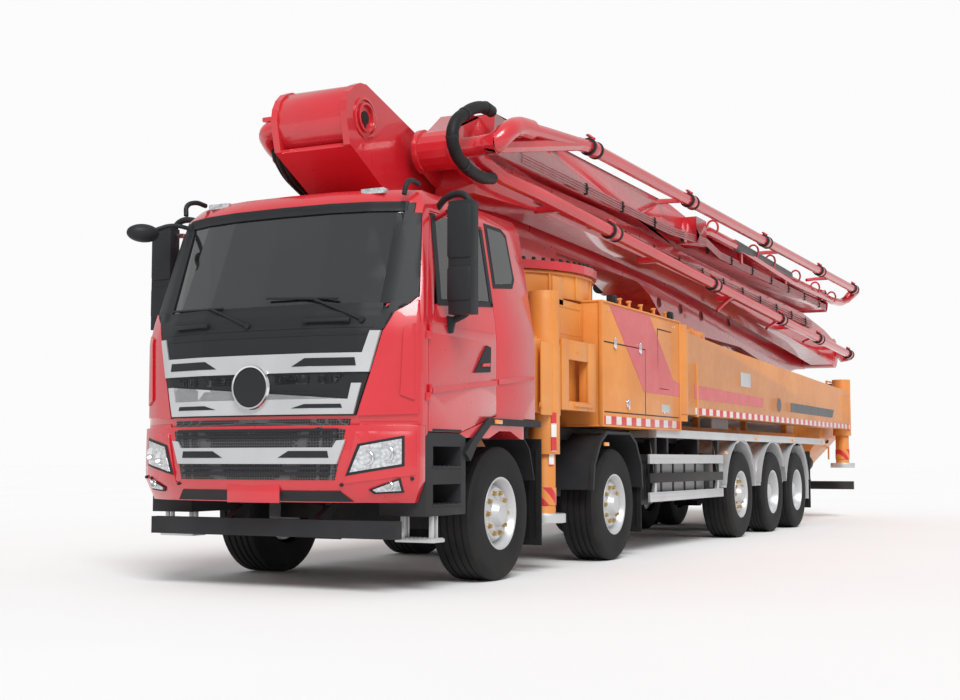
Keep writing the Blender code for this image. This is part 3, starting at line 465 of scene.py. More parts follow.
def refined(node, finish, width, others=()):  # the copy stands for the node
    whole = copyOf(node, False, 0)
    volume = whole.calc_volume()
    whole.free()
    for merge, edge in ((True, width), (False, width), (False, 0)):
        bm = copyOf(node, merge, edge)
        if abs(bm.calc_volume() - volume) < 0.002 * volume and all(len(e.link_faces) == 2 for e in bm.edges):
            break
        bm.free()
    for face in bm.faces:
        middle = face.calc_center_median()
        face.material_index = next((k + 1 for k, (_, test) in enumerate(others) if test(middle)), 0)
    piece = finished(bm, node + "_skin", finish, frame["nodes"][node]["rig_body"], angle=40)
    for extra, _ in others:
        piece.data.materials.append(finishes[extra])
    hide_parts(node)
    return piece


slotOf = {entry["node"]: entry["material_slot"] for entry in frame["record"]["subparts"]}
rounding = {
    "cab_shell": 0.010,
    "door_left": 0.006,
    "door_right": 0.006,
    "bumper": 0.025,
    "pedestal": 0.006,
    "side_box_left": 0.010,
    "side_box_right": 0.010,
    "boom_1": 0.008,
    "boom_2": 0.008,
    "boom_3": 0.008,
    "boom_4": 0.008,
    "boom_5": 0.008,
    "rear_outrigger_left": 0.008,
    "rear_outrigger_right": 0.008,
    "front_outrigger_left": 0.005,
    "front_outrigger_right": 0.005,
    "seat_left": 0.030,
    "seat_right": 0.030,
    "front_leg_left": 0.004,
    "front_leg_right": 0.004,
    "rear_leg_left": 0.004,
    "rear_leg_right": 0.004,
    "side_guard_left": 0.003,
    "side_guard_right": 0.003,
    "hopper": 0.004,
    "subframe": 0.004,
}
repainted = {"bumper": "red_paint", "underrun_bar": "dark_plastic"}
repainted.update({f"{end}_leg_{side}": "orange_paint" for end in ("front", "rear") for side in ("left",
        "right")})
for nodeName, nodeObject in frame["nodes"].items():
    nodeObject.data.materials.clear()
    nodeObject.data.materials.append(finishes[repainted.get(nodeName, slotOf[nodeName])])
    nodeObject.data.shade_smooth()
    nodeObject.data.set_sharp_from_angle(angle=math.radians(32))
secondFinish = {  # faces of a node that take another finish: the finish and the test of a face's middle
    "cab_shell": [("dark_plastic", lambda spot: spot.z < 1.145)],
    "door_left": [("dark_plastic", lambda spot: spot.x > 1.275)],
    "door_right": [("dark_plastic", lambda spot: spot.x < -1.275)],
    "hopper": [("dark_steel", lambda spot: spot.z < 0.70)],
}
for side in ("left", "right"):
    secondFinish[f"front_leg_{side}"] = [("silver_paint", lambda spot: spot.z < 0.56)]
    secondFinish[f"rear_leg_{side}"] = [("silver_paint", lambda spot: spot.z < 0.98)]
    secondFinish[f"side_guard_{side}"] = [
        ("tank", lambda spot: abs(spot.x) < 1.125 and 0.5 < spot.z < 1.03 and spot.y < -0.6),
        ("dark_steel", lambda spot: spot.y < -0.25 and (0.70 < spot.z < 0.90 or 1.04 < spot.z < 1.205)),
    ]
for nodeName, width in rounding.items():
    refined(nodeName, repainted.get(nodeName, slotOf[nodeName]), width, secondFinish.get(nodeName, ()))
print("CAD nodes finished:", len(frame["nodes"]))


wheel = {
    "steps": 72,
    "rimEdge": 0.292,
    "nuts": 10,
    "nutCircle": 0.168,
    "nutRadius": 0.017,
    "groove": 0.012,
}


def tyreProfile(outer, inner):
    tread = wheelRadius - 0.002
    shoulder = 0.040
    rim = wheel["rimEdge"]
    side = [(rim - 0.006, -0.030), (rim, -0.012), (rim + 0.03, -0.004), (0.40, 0.0), (0.47, -0.003),
            (0.50, -0.008), (tread - 0.012, -0.024), (tread, -shoulder)]
    near = [(radius, outer + depth) for radius, depth in side]
    far = [(radius, inner - depth) for radius, depth in reversed(side)]
    width = outer - inner - 2 * shoulder
    grooves = []
    for share in (0.2, 0.4, 0.6, 0.8):
        middle = outer - shoulder - width * share
        for radius, step in ((tread, 0.010), (tread - wheel["groove"], 0.006),
                             (tread - wheel["groove"], -0.006), (tread, -0.010)):
            grooves.append((radius, middle + step))
    return near + grooves + far


def makeWheel(number, side):
    body = f"wheel_{number}_{side}"
    low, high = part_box(body)
    sign = 1 if side == "left" else -1
    centre = (low + high) / 2
    middle = Vector((0, centre.y, centre.z))
    face = 1.22
    twin = number > 3
    depth = 0.31 if twin else 0.38
    bm = bmesh.new()
    for outer in ((face, face - 0.35) if twin else (face,)):
        addSpin(bm, [(r, sign * x) for r, x in tyreProfile(outer, outer - depth)], middle, wheel["steps"])
    closeUp(bm)
    tyre = finished(bm, f"{body}_tyre", "tyre", body)
    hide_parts(body)

    bm = bmesh.new()
    edge = wheel["rimEdge"]
    if twin:
        disc = [(0.0, 1.165), (0.085, 1.165), (0.105, 1.150), (0.112, 0.985), (0.125, 0.975), (0.205, 0.972),
                (0.238, 1.000), (0.252, 1.090), (0.262, 1.180), (0.276, 1.205), (edge, 1.208),
                (edge + 0.004, 1.196), (0.272, 1.180), (0.262, 0.92), (0.262, 0.62), (0.0, 0.62)]
    else:
        disc = [(0.0, 1.243), (0.060, 1.243), (0.085, 1.232), (0.100, 1.205), (0.112, 1.180), (0.130, 1.174),
                (0.205, 1.170), (0.222, 1.150), (0.236, 1.120), (0.252, 1.150), (0.268, 1.196),
                (0.280, 1.210), (edge, 1.212), (edge + 0.004, 1.200), (0.272, 1.186), (0.262, 1.10),
                (0.262, 0.90), (0.0, 0.90)]
    addSpin(bm, [(r, sign * x) for r, x in disc], middle, wheel["steps"])
    closeUp(bm)
    finished(bm, f"{body}_rim", "silver_paint", body)

    bm = bmesh.new()
    base = 0.972 if twin else 1.171
    for count in range(wheel["nuts"]):
        turn = 2 * math.pi * count / wheel["nuts"]
        spot = middle + Vector((0, math.cos(turn), math.sin(turn))) * wheel["nutCircle"]
        start = spot + Vector((sign * (base - 0.004), 0, 0))
        addRod(bm, start, start + Vector((sign * 0.012, 0, 0)), wheel["nutRadius"] + 0.005, 14)
        addRod(bm, start, start + Vector((sign * 0.034, 0, 0)), wheel["nutRadius"], 6, 0.002)
    finished(bm, f"{body}_nuts", "gold", body, "silver_paint")


for wheelNumber in range(1, 6):
    for wheelSide in ("left", "right"):
        makeWheel(wheelNumber, wheelSide)
print("wheels made")

def treeOf(*nodes):
    bm = bmesh.new()
    for node in nodes:
        bm.from_mesh(frame["nodes"][node].data)
    tree = BVHTree.FromBMesh(bm)
    bm.free()
    return tree


cabTree = treeOf("cab_shell", "windscreen", "bumper", "door_left", "door_right")
fasciaTree = treeOf("cab_shell", "windscreen", "door_left", "door_right")


def frontHit(x, z, tree=None):  # the place on the cab's front at this width and height
    hit = (tree or cabTree).ray_cast(Vector((x, cadBox[0].y - 1, z)), Vector((0, 1, 0)))[0]
    return hit.y if hit else None


def wallHit(z):  # the cab's side wall at this height, taken behind the doors
    start = at(3, cab["wallAt"], z)
    hit = cabTree.ray_cast(start, Vector((-1, 0, 0)))[0]
    return hit.x if hit else None


def panel(bm, outline, settle, lift, depth, step=0.06, edge=0.002):
    # a flat outline is cut into strips, each point is settled on the surface, and a wall is given to it
    plate = bmesh.new()
    face = plate.faces.new([plate.verts.new((a, 0, b)) for a, b in outline])
    bmesh.ops.triangulate(plate, faces=[face])
    for axis in (0, 2):
        spots = [v.co[axis] for v in plate.verts]
        spot = min(spots) + step
        while spot < max(spots):
            place = Vector((spot, 0, 0)) if axis == 0 else Vector((0, 0, spot))
            normal = Vector((1, 0, 0)) if axis == 0 else Vector((0, 0, 1))
            everything = list(plate.verts) + list(plate.edges) + list(plate.faces)
            bmesh.ops.bisect_plane(plate, geom=everything, dist=0.0001, plane_co=place, plane_no=normal)
            spot += step
    top = list(plate.faces)
    under = bmesh.ops.extrude_face_region(plate, geom=top)
    moved = [v for v in under["geom"] if isinstance(v, bmesh.types.BMVert)]
    known = [settle(v.co.x, v.co.z) for v in plate.verts]
    known = [k for k in known if k]
    middle = sum(known, Vector()) / len(known)
    inner = set(moved)
    for vert in plate.verts:
        found = settle(vert.co.x, vert.co.z)
        spot, out = found if isinstance(found, tuple) else (found, None)
        spot = spot or middle
        vert.co = spot
        vert.co += settle.out * (lift if vert not in inner else lift - depth)
    bmesh.ops.recalc_face_normals(plate, faces=plate.faces)
    if edge:
        rims = [e for e in plate.edges if len(e.link_faces) == 2 and e.calc_face_angle(0) > 0.9]
        bmesh.ops.bevel(plate, geom=rims, offset=edge, segments=1, profile=0.5, material=-1, affect="EDGES",
                        clamp_overlap=True)
    mesh = bpy.data.meshes.new("plate")
    plate.to_mesh(mesh)
    plate.free()
    bm.from_mesh(mesh)
    bpy.data.meshes.remove(mesh)


def onFront(tree=None):
    def settle(a, b):
        y = frontHit(a, b, tree)
        return Vector((a, y, b)) if y is not None else None

    settle.out = Vector((0, -1, 0))
    return settle


def onSide(sign):  # outlines are (metres behind the front axle, height)
    def settle(a, b):
        x = wallHit(b)
        return Vector((sign * x, frontAxle.y + a, b)) if x is not None else None

    settle.out = Vector((sign, 0, 0))
    return settle


def onPlane(x, sign):
    def settle(a, b):
        return Vector((x, frontAxle.y + a, b))

    settle.out = Vector((sign, 0, 0))
    return settle


def mirrored(outline):
    return [(-a, b) for a, b in reversed(outline)]


def facing(name, outlines, finish, lift, depth, body="truck", settle=None, slot=None, step=0.06):
    bm = bmesh.new()
    for outline in outlines:
        panel(bm, outline, settle or onFront(), lift, depth, step)
    return finished(bm, name, finish, body, slot)


cab = {
    "wallAt": 0.30,
    "blackTop": 2.10,
    "discHeight": 1.505,
    "discRadius": 0.165,
    "plateHalf": 0.235,
}


def makeFascia():
    skin = onFront(fasciaTree)
    lower = [(1.19, 2.16), (1.06, 2.06), (1.00, 1.905), (0.92, 1.60), (0.83, 1.29)]
    top = [(0.0, 2.115), (0.98, 2.115)]
    facing("fascia_panel", [top[1:] + lower + mirrored(lower) + [(-0.98, 2.115)]], "dark_plastic", 0.020,
           0.03,
           settle=skin, step=0.03)
    pillars = [(0.955, 2.10), (1.20, 2.165), (1.105, 2.90), (0.945, 2.90)]
    facing("windscreen_pillars", [pillars, mirrored(pillars)], "dark_plastic", 0.012, 0.02, settle=skin)
    facing("windscreen_header", [[(-1.02, 2.91), (-1.02, 2.835), (1.02, 2.835), (1.02, 2.91)]],
           "dark_plastic",
           0.016, 0.03, settle=skin, step=0.03)
    wing = [(1.012, 1.90), (1.075, 2.045), (1.205, 2.14), (1.235, 1.97), (1.235, 1.30), (0.845, 1.285)]
    facing("fascia_wings", [wing, mirrored(wing)], "red_paint", 0.022, 0.024, settle=skin)
    scoop = [(1.15, 1.93), (1.215, 1.96), (1.215, 1.40), (1.13, 1.44)]
    facing("fascia_scoops", [scoop, mirrored(scoop)], "red_paint", 0.040, 0.024, settle=skin)
    crease = [(-0.90, 1.875), (-0.90, 1.89), (0.90, 1.89), (0.90, 1.875)]
    ledge = [(-0.95, 1.93), (-0.95, 1.955), (0.95, 1.955), (0.95, 1.93)]
    facing("fascia_ribs", [crease, ledge], "dark_plastic", 0.024, 0.014, settle=skin)


def makeGrille():
    skin = onFront(fasciaTree)
    bars = []
    slots = []
    for top, inner, foot, out, across, leg in ((1.905, 1.745, 1.605, 1.00, 0.88, 0.925),
                                               (1.525, 1.41, 1.30, 0.875, 0.78, 0.82)):
        bars.append([(out, top), (out - 0.07, top), (across, inner), (-across, inner), (0.07 - out, top),
                     (-out, top), (-leg, foot), (leg, foot)])
        low = foot + 0.045
        slots.append([(0.45, inner - 0.035), (across - 0.05, inner - 0.035), (across - 0.04, low),
                      (0.34, low)])
    facing("grille_bars", bars, "silver_paint", 0.034, 0.022, settle=skin)
    facing("grille_slots", slots + [mirrored(s) for s in slots], "dark_plastic", 0.038, 0.010, settle=skin)
    strip = [(0.19, 1.59), (0.76, 1.59), (0.69, 1.52), (0.19, 1.52)]
    facing("grille_mesh_upper", [strip, mirrored(strip)], "mesh", 0.020, 0.012, settle=skin,
           slot="dark_plastic")
    ribs = [[(-0.72, z), (-0.72, z + 0.012), (0.72, z + 0.012), (0.72, z)] for z in (1.445, 1.47)]
    facing("grille_ribs", ribs, "dark_plastic", 0.022, 0.012, settle=skin)

    front = frontHit(0, cab["discHeight"])
    middle = Vector((0, front - 0.062, cab["discHeight"]))
    r = cab["discRadius"]
    bm = bmesh.new()
    addSpin(bm, [(r, 0.03), (r + 0.004, 0.012), (r - 0.004, -0.004), (r - 0.016, -0.002), (r - 0.020, 0.01),
                 (r - 0.022, 0.05), (r, 0.05), (r, 0.03)], middle, 56, (0, 1, 0))
    closeUp(bm)
    finished(bm, "front_disc_rim", "chrome", "truck")
    bm = bmesh.new()
    addSpin(bm, [(0, 0.012), (r * 0.5, 0.009), (r - 0.020, 0.004), (r - 0.020, 0.05)], middle, 56, (0, 1, 0))
    closeUp(bm)
    finished(bm, "front_disc", "dark_plastic", "truck")

    lower = [(0.79, 1.265), (0.74, 1.05), (0.69, 0.825)]
    facing("lower_grille", [lower + mirrored(lower)], "mesh", 0.006, 0.012, slot="dark_plastic")
    slats = [[(-0.72, z), (-0.72, z + 0.022), (0.72, z + 0.022), (0.72, z)] for z in (1.13, 1.175)]
    slats += [[(-0.66, z), (-0.66, z + 0.020), (0.66, z + 0.020), (0.66, z)] for z in (0.86, 0.90)]
    facing("lower_grille_slats", slats, "dark_plastic", 0.022, 0.016)
    bar = [(0.78, 1.115), (0.715, 1.11), (0.685, 1.06), (-0.685, 1.06), (-0.715, 1.11), (-0.78, 1.115),
           (-0.715, 0.94), (0.715, 0.94)]
    facing("lower_grille_bar", [bar], "silver_paint", 0.028, 0.022)
    slot = [(0.34, 1.035), (0.65, 1.035), (0.66, 0.985), (0.25, 0.985)]
    facing("lower_grille_bar_slots", [slot, mirrored(slot)], "dark_plastic", 0.032, 0.010)


def makeBumper():
    notch = [(0.71, 0.745), (0.79, 0.668)]
    facing("bumper_notch", [notch + mirrored(notch)], "dark_plastic", 0.008, 0.012)
    face = frontHit(0, 0.74)
    half = cab["plateHalf"]
    bm = bmesh.new()
    addBlock(bm, (-half, face - 0.022, 0.655), (half, face - 0.006, 0.815), 0.005)
    finished(bm, "blank_plate", "red_paint", "truck")
    corner = [(0.86, 1.245), (1.23, 1.245), (1.235, 0.86), (0.76, 0.80)]
    facing("bumper_corners", [corner, mirrored(corner)], "red_paint", 0.010, 0.012)
    housing = [(0.865, 1.085), (1.165, 1.145), (1.165, 0.925), (0.775, 0.855)]
    facing("headlamp_housings", [housing, mirrored(housing)], "dark_plastic", 0.016, 0.012)
    lens = [(0.885, 1.070), (1.150, 1.122), (1.150, 0.940), (0.810, 0.880)]
    facing("headlamp_lenses", [lens, mirrored(lens)], "lamp", 0.022, 0.010, slot="chrome")
    fog = [(0.92, 0.755), (1.14, 0.840), (1.145, 0.735), (0.95, 0.725)]
    fogLens = [(0.95, 0.755), (1.13, 0.822), (1.133, 0.748), (0.97, 0.738)]
    facing("fog_lamp_housings", [fog, mirrored(fog)], "dark_plastic", 0.016, 0.012)
    facing("fog_lamp_lenses", [fogLens, mirrored(fogLens)], "lamp", 0.021, 0.008, slot="chrome")
    cups = bmesh.new()
    bolts = bmesh.new()
    for side in (-1, 1):
        for x, z, r in ((0.93, 0.985, 0.052), (1.06, 1.015, 0.055), (1.07, 0.785, 0.026)):
            y = frontHit(side * x, z)
            addSpin(cups, [(0.0, 0.006), (r * 0.4, 0.0), (r * 0.75, -0.014), (r, -0.030), (r + 0.005, -0.026),
                           (r + 0.005, -0.010)], (side * x, y - 0.004, z), 24, (0, 1, 0))
        for x, z in ((0.735, 0.79), (1.21, 0.835)):
            y = frontHit(side * x, z)
            addRod(bolts, (side * x, y - 0.018, z), (side * x, y + 0.004, z), 0.013, 12, 0.003)
    closeUp(cups)
    finished(cups, "headlamp_cups", "chrome", "truck")
    finished(bolts, "bumper_caps", "dark_plastic", "truck")


def makeCabTrim():
    handles = bmesh.new()
    for x0, x1 in ((0.43, 0.79), (-0.79, -0.43)):
        y0, y1 = frontHit(x0, 1.98) - 0.05, frontHit(x1, 1.98) - 0.05
        addRod(handles, (x0, y0, 1.985), (x1, y1, 1.985), 0.016, 14, 0.004)
        for x, y in ((x0 + 0.02 * (1 if x1 > x0 else -1), y0), (x1 - 0.02 * (1 if x1 > x0 else -1), y1)):
            addBlock(handles, (x - 0.014, y, 1.965), (x + 0.014, y + 0.06, 2.0), 0.004)
    finished(handles, "fascia_handles", "dark_plastic", "truck")

    wipers = bmesh.new()
    for foot, elbow, ends in (((0.87, 1.985), (0.48, 2.150), ((0.06, 2.175), (0.66, 2.150))),
                              ((-0.06, 1.965), (-0.45, 2.120), ((-0.94, 2.135), (-0.34, 2.118)))):
        spots = [Vector((x, frontHit(x, z) - 0.035, z)) for x, z in (foot, elbow, *ends)]
        addRod(wipers, spots[0], spots[1], 0.010, 10)
        addRod(wipers, spots[2], spots[3], 0.009, 8)
        addRod(wipers, spots[0] + Vector((0, -0.012, 0)), spots[0] + Vector((0, 0.05, 0)), 0.020, 14, 0.004)
        addRod(wipers, spots[1], (spots[2] + spots[3]) / 2, 0.007, 8)
    finished(wipers, "wipers", "dark_plastic", "truck")

    markers = bmesh.new()
    for side in (-1, 1):
        y = frontHit(side * 0.72, 3.00)
        addBlock(markers, (side * 0.62, y - 0.02, 2.985), (side * 0.82, y + 0.06, 3.030), 0.008)
    finished(markers, "roof_markers", "lamp", "truck", "chrome")
    for side, word in ((1, "left"), (-1, "right")):
        horn = [(side * 1.02, -1.26, 2.95), (side * 1.03, -1.24, 3.03), (side * 1.02, -1.15, 3.075),
                (side * 1.01, -1.02, 3.07)]
        tubes(f"roof_rail_{word}", [[at(*p) for p in horn]], 0.020, "dark_plastic", "truck")

    for side, word in ((1, "left"), (-1, "right")):
        sideSkin = onSide(side)
        body = f"door_{word}"
        pane = [(-1.06, 2.17), (-0.20, 2.24), (-0.20, 2.84), (-0.98, 2.84)]
        facing(f"{body}_pane", [pane], "glass", 0.006, 0.010, body, sideSkin)
        rim = [(-1.12, 2.12), (-0.17, 2.20), (-0.17, 2.24), (-1.08, 2.165)]
        post = [(-1.12, 2.12), (-1.06, 2.16), (-0.97, 2.84), (-1.03, 2.84)]
        rear = [(-0.215, 2.20), (-0.165, 2.20), (-0.165, 2.84), (-0.215, 2.84)]
        facing(f"{body}_window_frame", [rim, post, rear], "dark_plastic", 0.012, 0.016, body, sideSkin)
        sill = [(-1.24, 1.98), (-0.17, 1.98), (-0.17, 2.21), (-1.12, 2.13)]
        facing(f"{body}_sill", [sill], "red_paint", 0.004, 0.05, body, sideSkin)
        grip = [(-0.56, 1.645), (-0.28, 1.665), (-0.27, 1.865), (-0.345, 1.875)]
        facing(f"{body}_handle", [grip], "dark_plastic", 0.010, 0.012, body, sideSkin)
        pull = [(-0.44, 1.70), (-0.31, 1.71), (-0.31, 1.735), (-0.43, 1.725)]
        facing(f"{body}_pull", [pull], "red_paint", 0.022, 0.012, body, sideSkin)
        crease = [(-1.24, 1.455), (-0.17, 1.565), (-0.17, 1.605), (-1.24, 1.50)]
        facing(f"{body}_crease", [crease], "red_paint", 0.012, 0.014, body, sideSkin)
        rearPane = [(-0.06, 2.40), (0.26, 2.44), (0.30, 2.50), (0.27, 2.83), (0.20, 2.87), (-0.06, 2.87)]
        facing(f"cab_window_{word}", [rearPane], "glass", 0.008, 0.010, "truck", sideSkin)
        surround = [(-0.10, 2.36), (0.28, 2.40), (0.345, 2.48), (0.31, 2.86), (0.22, 2.905), (-0.10, 2.905)]
        facing(f"cab_window_frame_{word}", [surround], "dark_plastic", 0.004, 0.010, "truck", sideSkin)
        backCrease = [(-0.13, 1.575), (0.56, 1.645), (0.56, 1.68), (-0.13, 1.615)]
        facing(f"cab_crease_{word}", [backCrease], "red_paint", 0.012, 0.014, "truck", sideSkin)

        flare = [(-0.74, 1.02), (-0.60, 1.135), (-0.34, 1.30), (0.66, 1.30), (0.66, 1.245), (-0.30, 1.245),
                 (-0.53, 1.10), (-0.66, 0.96)]
        facing(f"front_arch_trim_{word}", [flare], "dark_plastic", 0.030, 0.08, "truck",
               onPlane(side * 1.245, side))
        bm = bmesh.new()
        addBlock(bm, at(side * 1.268, -0.24, 1.255), at(side * 1.290, -0.12, 1.29), 0.006)
        finished(bm, f"arch_marker_{word}", "amber", "truck", "orange_paint")

        route = [(side * 1.08, -0.86, 2.90), (side * 1.20, -0.90, 2.975), (side * 1.36, -0.93, 2.97),
                 (side * 1.415, -0.93, 2.87), (side * 1.42, -0.93, 2.40), (side * 1.40, -0.93, 2.10),
                 (side * 1.30, -0.95, 2.03), (side * 1.22, -0.95, 2.01)]
        tubes(f"mirror_frame_{word}", [[at(*p) for p in route]], 0.027, "dark_plastic", body)
        bm = bmesh.new()
        for low, high in ((2.46, 2.88), (2.14, 2.41)):
            addBlock(bm, at(side * 1.295, -1.115, low), at(side * 1.506, -0.985, high), 0.030)
            addRod(bm, at(side * 1.40, -0.99, (low + high) / 2), at(side * 1.40, -0.93, (low + high) / 2),
                   0.035,
                   16, 0.005)
        addRod(bm, at(side * 1.22, -0.95, 1.93), at(side * 1.25, -0.95, 2.05), 0.05, 14, 0.010)
        finished(bm, f"mirror_heads_{word}", "dark_plastic", body)
        bm = bmesh.new()
        for low, high in ((2.49, 2.85), (2.17, 2.38)):
            addBlock(bm, at(side * 1.318, -0.986, low), at(side * 1.478, -0.980, high), 0.002)
        finished(bm, f"mirror_glass_{word}", "chrome", body)

    bm = bmesh.new()
    bean = bmesh.ops.create_uvsphere(bm, u_segments=24, v_segments=16, radius=1.0)["verts"]
    bmesh.ops.scale(bm, vec=(0.085, 0.135, 0.075), verts=bean)
    bmesh.ops.rotate(bm, cent=(0, 0, 0), matrix=Matrix.Rotation(math.radians(-35), 3, "Z"), verts=bean)
    bmesh.ops.translate(bm, vec=at(-1.30, -1.45, 2.80), verts=bean)
    finished(bm, "corner_mirror", "dark_plastic", "truck")
    arm = [at(-1.05, -1.14, 2.86), at(-1.16, -1.26, 2.88), at(-1.25, -1.38, 2.83)]
    tubes("corner_mirror_arm", [arm], 0.018, "dark_plastic", "truck")

    steps = bmesh.new()
    for side in (-1, 1):
        for x in (0.96, 1.20):
            for y in (-1.19, -1.13):
                addBlock(steps, at(side * x, y, 0.39), at(side * (x + 0.035), y + 0.018, 0.60), 0.003)
            addBlock(steps, at(side * x, -1.19, 0.57), at(side * (x + 0.035), -1.112, 0.60), 0.003)
        addBlock(steps, at(side * 0.93, -1.22, 0.365), at(side * 1.26, -1.05, 0.393), 0.006)
        for k in range(9):
            x = 0.95 + k * 0.036
            addBlock(steps, at(side * x, -1.21, 0.392), at(side * (x + 0.012), -1.06, 0.398), 0.0)
    finished(steps, "entry_steps", "silver_paint", "truck")
    treads = bmesh.new()
    for side in (-1, 1):
        for z in (0.625, 0.905, 1.18):
            addBlock(treads, at(side * 1.03, -1.23, z), at(side * 1.255, -0.77, z + 0.018), 0.004)
            for k in range(6):
                y = -1.20 + k * 0.075
                addBlock(treads, at(side * 1.06, y, z + 0.017), at(side * 1.245, y + 0.03, z + 0.024), 0.0)
    finished(treads, "step_treads", "dark_plastic", "truck")


makeFascia()
makeGrille()
makeBumper()
makeCabTrim()
print("cab finished")

boom = {
    "pipe": 0.060,
    "collar": 0.080,
    "clamp": 0.086,
    "line": 0.013,
    "runs": {  # body: width, two ends as (metres behind the front axle, height), and the couplings' places
        "boom_1": (-0.42, (0.6, 3.38), (13.6, 2.94), (3.2, 6.4, 9.6, 12.8)),
        "boom_2": (1.10, (1.0, 3.34), (14.4, 2.804), (2.83, 6.29, 9.56, 11.94, 14.2)),
        "boom_3": (1.20, (1.95, 3.955), (14.35, 3.955), (2.05, 5.08, 8.38, 11.67, 14.25)),
        "boom_4": (-0.58, (4.2, 3.93), (13.0, 3.93), (5.6, 8.6, 11.6)),
        "boom_5": (-1.15, (4.2, 3.68), (13.0, 3.68), (5.0, 8.0, 11.0)),
    },
}
boomTrees = {name: treeOf(name) for name in boom["runs"]}


def alongRun(run, back):
    width, first, last, places = run
    share = (back - first[0]) / (last[0] - first[0])
    return at(width, back, first[1] + (last[1] - first[1]) * share)


def sideOf(body, start, back, z, sign):  # the boom section's side reached from this width
    hit = boomTrees[body].ray_cast(at(start, back, z), Vector((-sign, 0, 0)), 0.9)[0]
    return hit.x if hit else None


def makeCouplings():
    for body, run in boom["runs"].items():
        collars, clamps, levers = bmesh.new(), bmesh.new(), bmesh.new()
        for back in run[3]:
            middle = alongRun(run, back)
            along = (alongRun(run, back + 0.5) - middle).normalized()
            addRod(collars, middle - along * 0.075, middle + along * 0.075, boom["collar"], 28, 0.008)
            for end in (-1, 1):
                spot = middle + along * 0.092 * end
                addRod(clamps, spot - along * 0.016, spot + along * 0.016, boom["clamp"], 28, 0.004)
            top = middle + Vector((0, 0, boom["collar"]))
            addBlock(levers, top + Vector((-0.022, -0.045, -0.01)), top + Vector((0.022, 0.030, 0.035)),
                     0.008)
            addBlock(levers, top + Vector((-0.016, -0.115, 0.020)), top + Vector((0.016, -0.030, 0.042)),
                     0.008)
            addRod(levers, top + Vector((-0.036, 0, 0.015)), top + Vector((0.036, 0, 0.015)), 0.012, 10,
                   0.002)
            side = math.copysign(1, run[0])
            addBlock(levers, middle + Vector((side * -0.11, -0.02, -0.025)),
                     middle + Vector((side * -0.05, 0.02, 0.025)),
                     0.005)
        finished(collars, f"{body}_pipe_collars", "red_paint", body)
        finished(clamps, f"{body}_pipe_clamps", "dark_plastic", body)
        finished(levers, f"{body}_pipe_levers", "red_paint", body)


def makeLines():  # rigid hydraulic lines and their clamps along the outer sides of two sections
    for body, start, heights, drop, ends in (("boom_3", 1.10, (3.662, 3.687, 3.712, 3.737), -0.012,
                                              (1.0, 13.2)),
                                             ("boom_2", 1.02, (3.43, 3.46, 3.49, 3.52), -0.022, (1.6, 12.6))):
        routes, holders = [], bmesh.new()
        count = 12
        for height in heights:
            route = []
            for step in range(count + 1):
                back = ends[0] + (ends[1] - ends[0]) * step / count
                z = height + drop * back
                x = sideOf(body, start, back, z, 1)
                if x is not None:
                    route.append(at(x + 0.022, back, z))
            routes.append(route)
        tubes(f"{body}_lines", routes, boom["line"] * 0.8, "line_steel", body, "red_paint", smooth=False,
              sides=2)
        for step in range(1, count):
            back = ends[0] + (ends[1] - ends[0]) * (step + 0.5) / count
            low, high = heights[0] + drop * back, heights[3] + drop * back
            x = sideOf(body, start, back, (low + high) / 2, 1)
            if x is not None:
                addBlock(holders, at(x + 0.002, back - 0.020, low - 0.020),
                         at(x + 0.040, back + 0.020, high + 0.020), 0.006)
                addRod(holders, at(x + 0.030, back, (low + high) / 2), at(x + 0.050, back, (low + high) / 2),
                       0.010, 6)
        finished(holders, f"{body}_line_clamps", "dark_plastic", body)


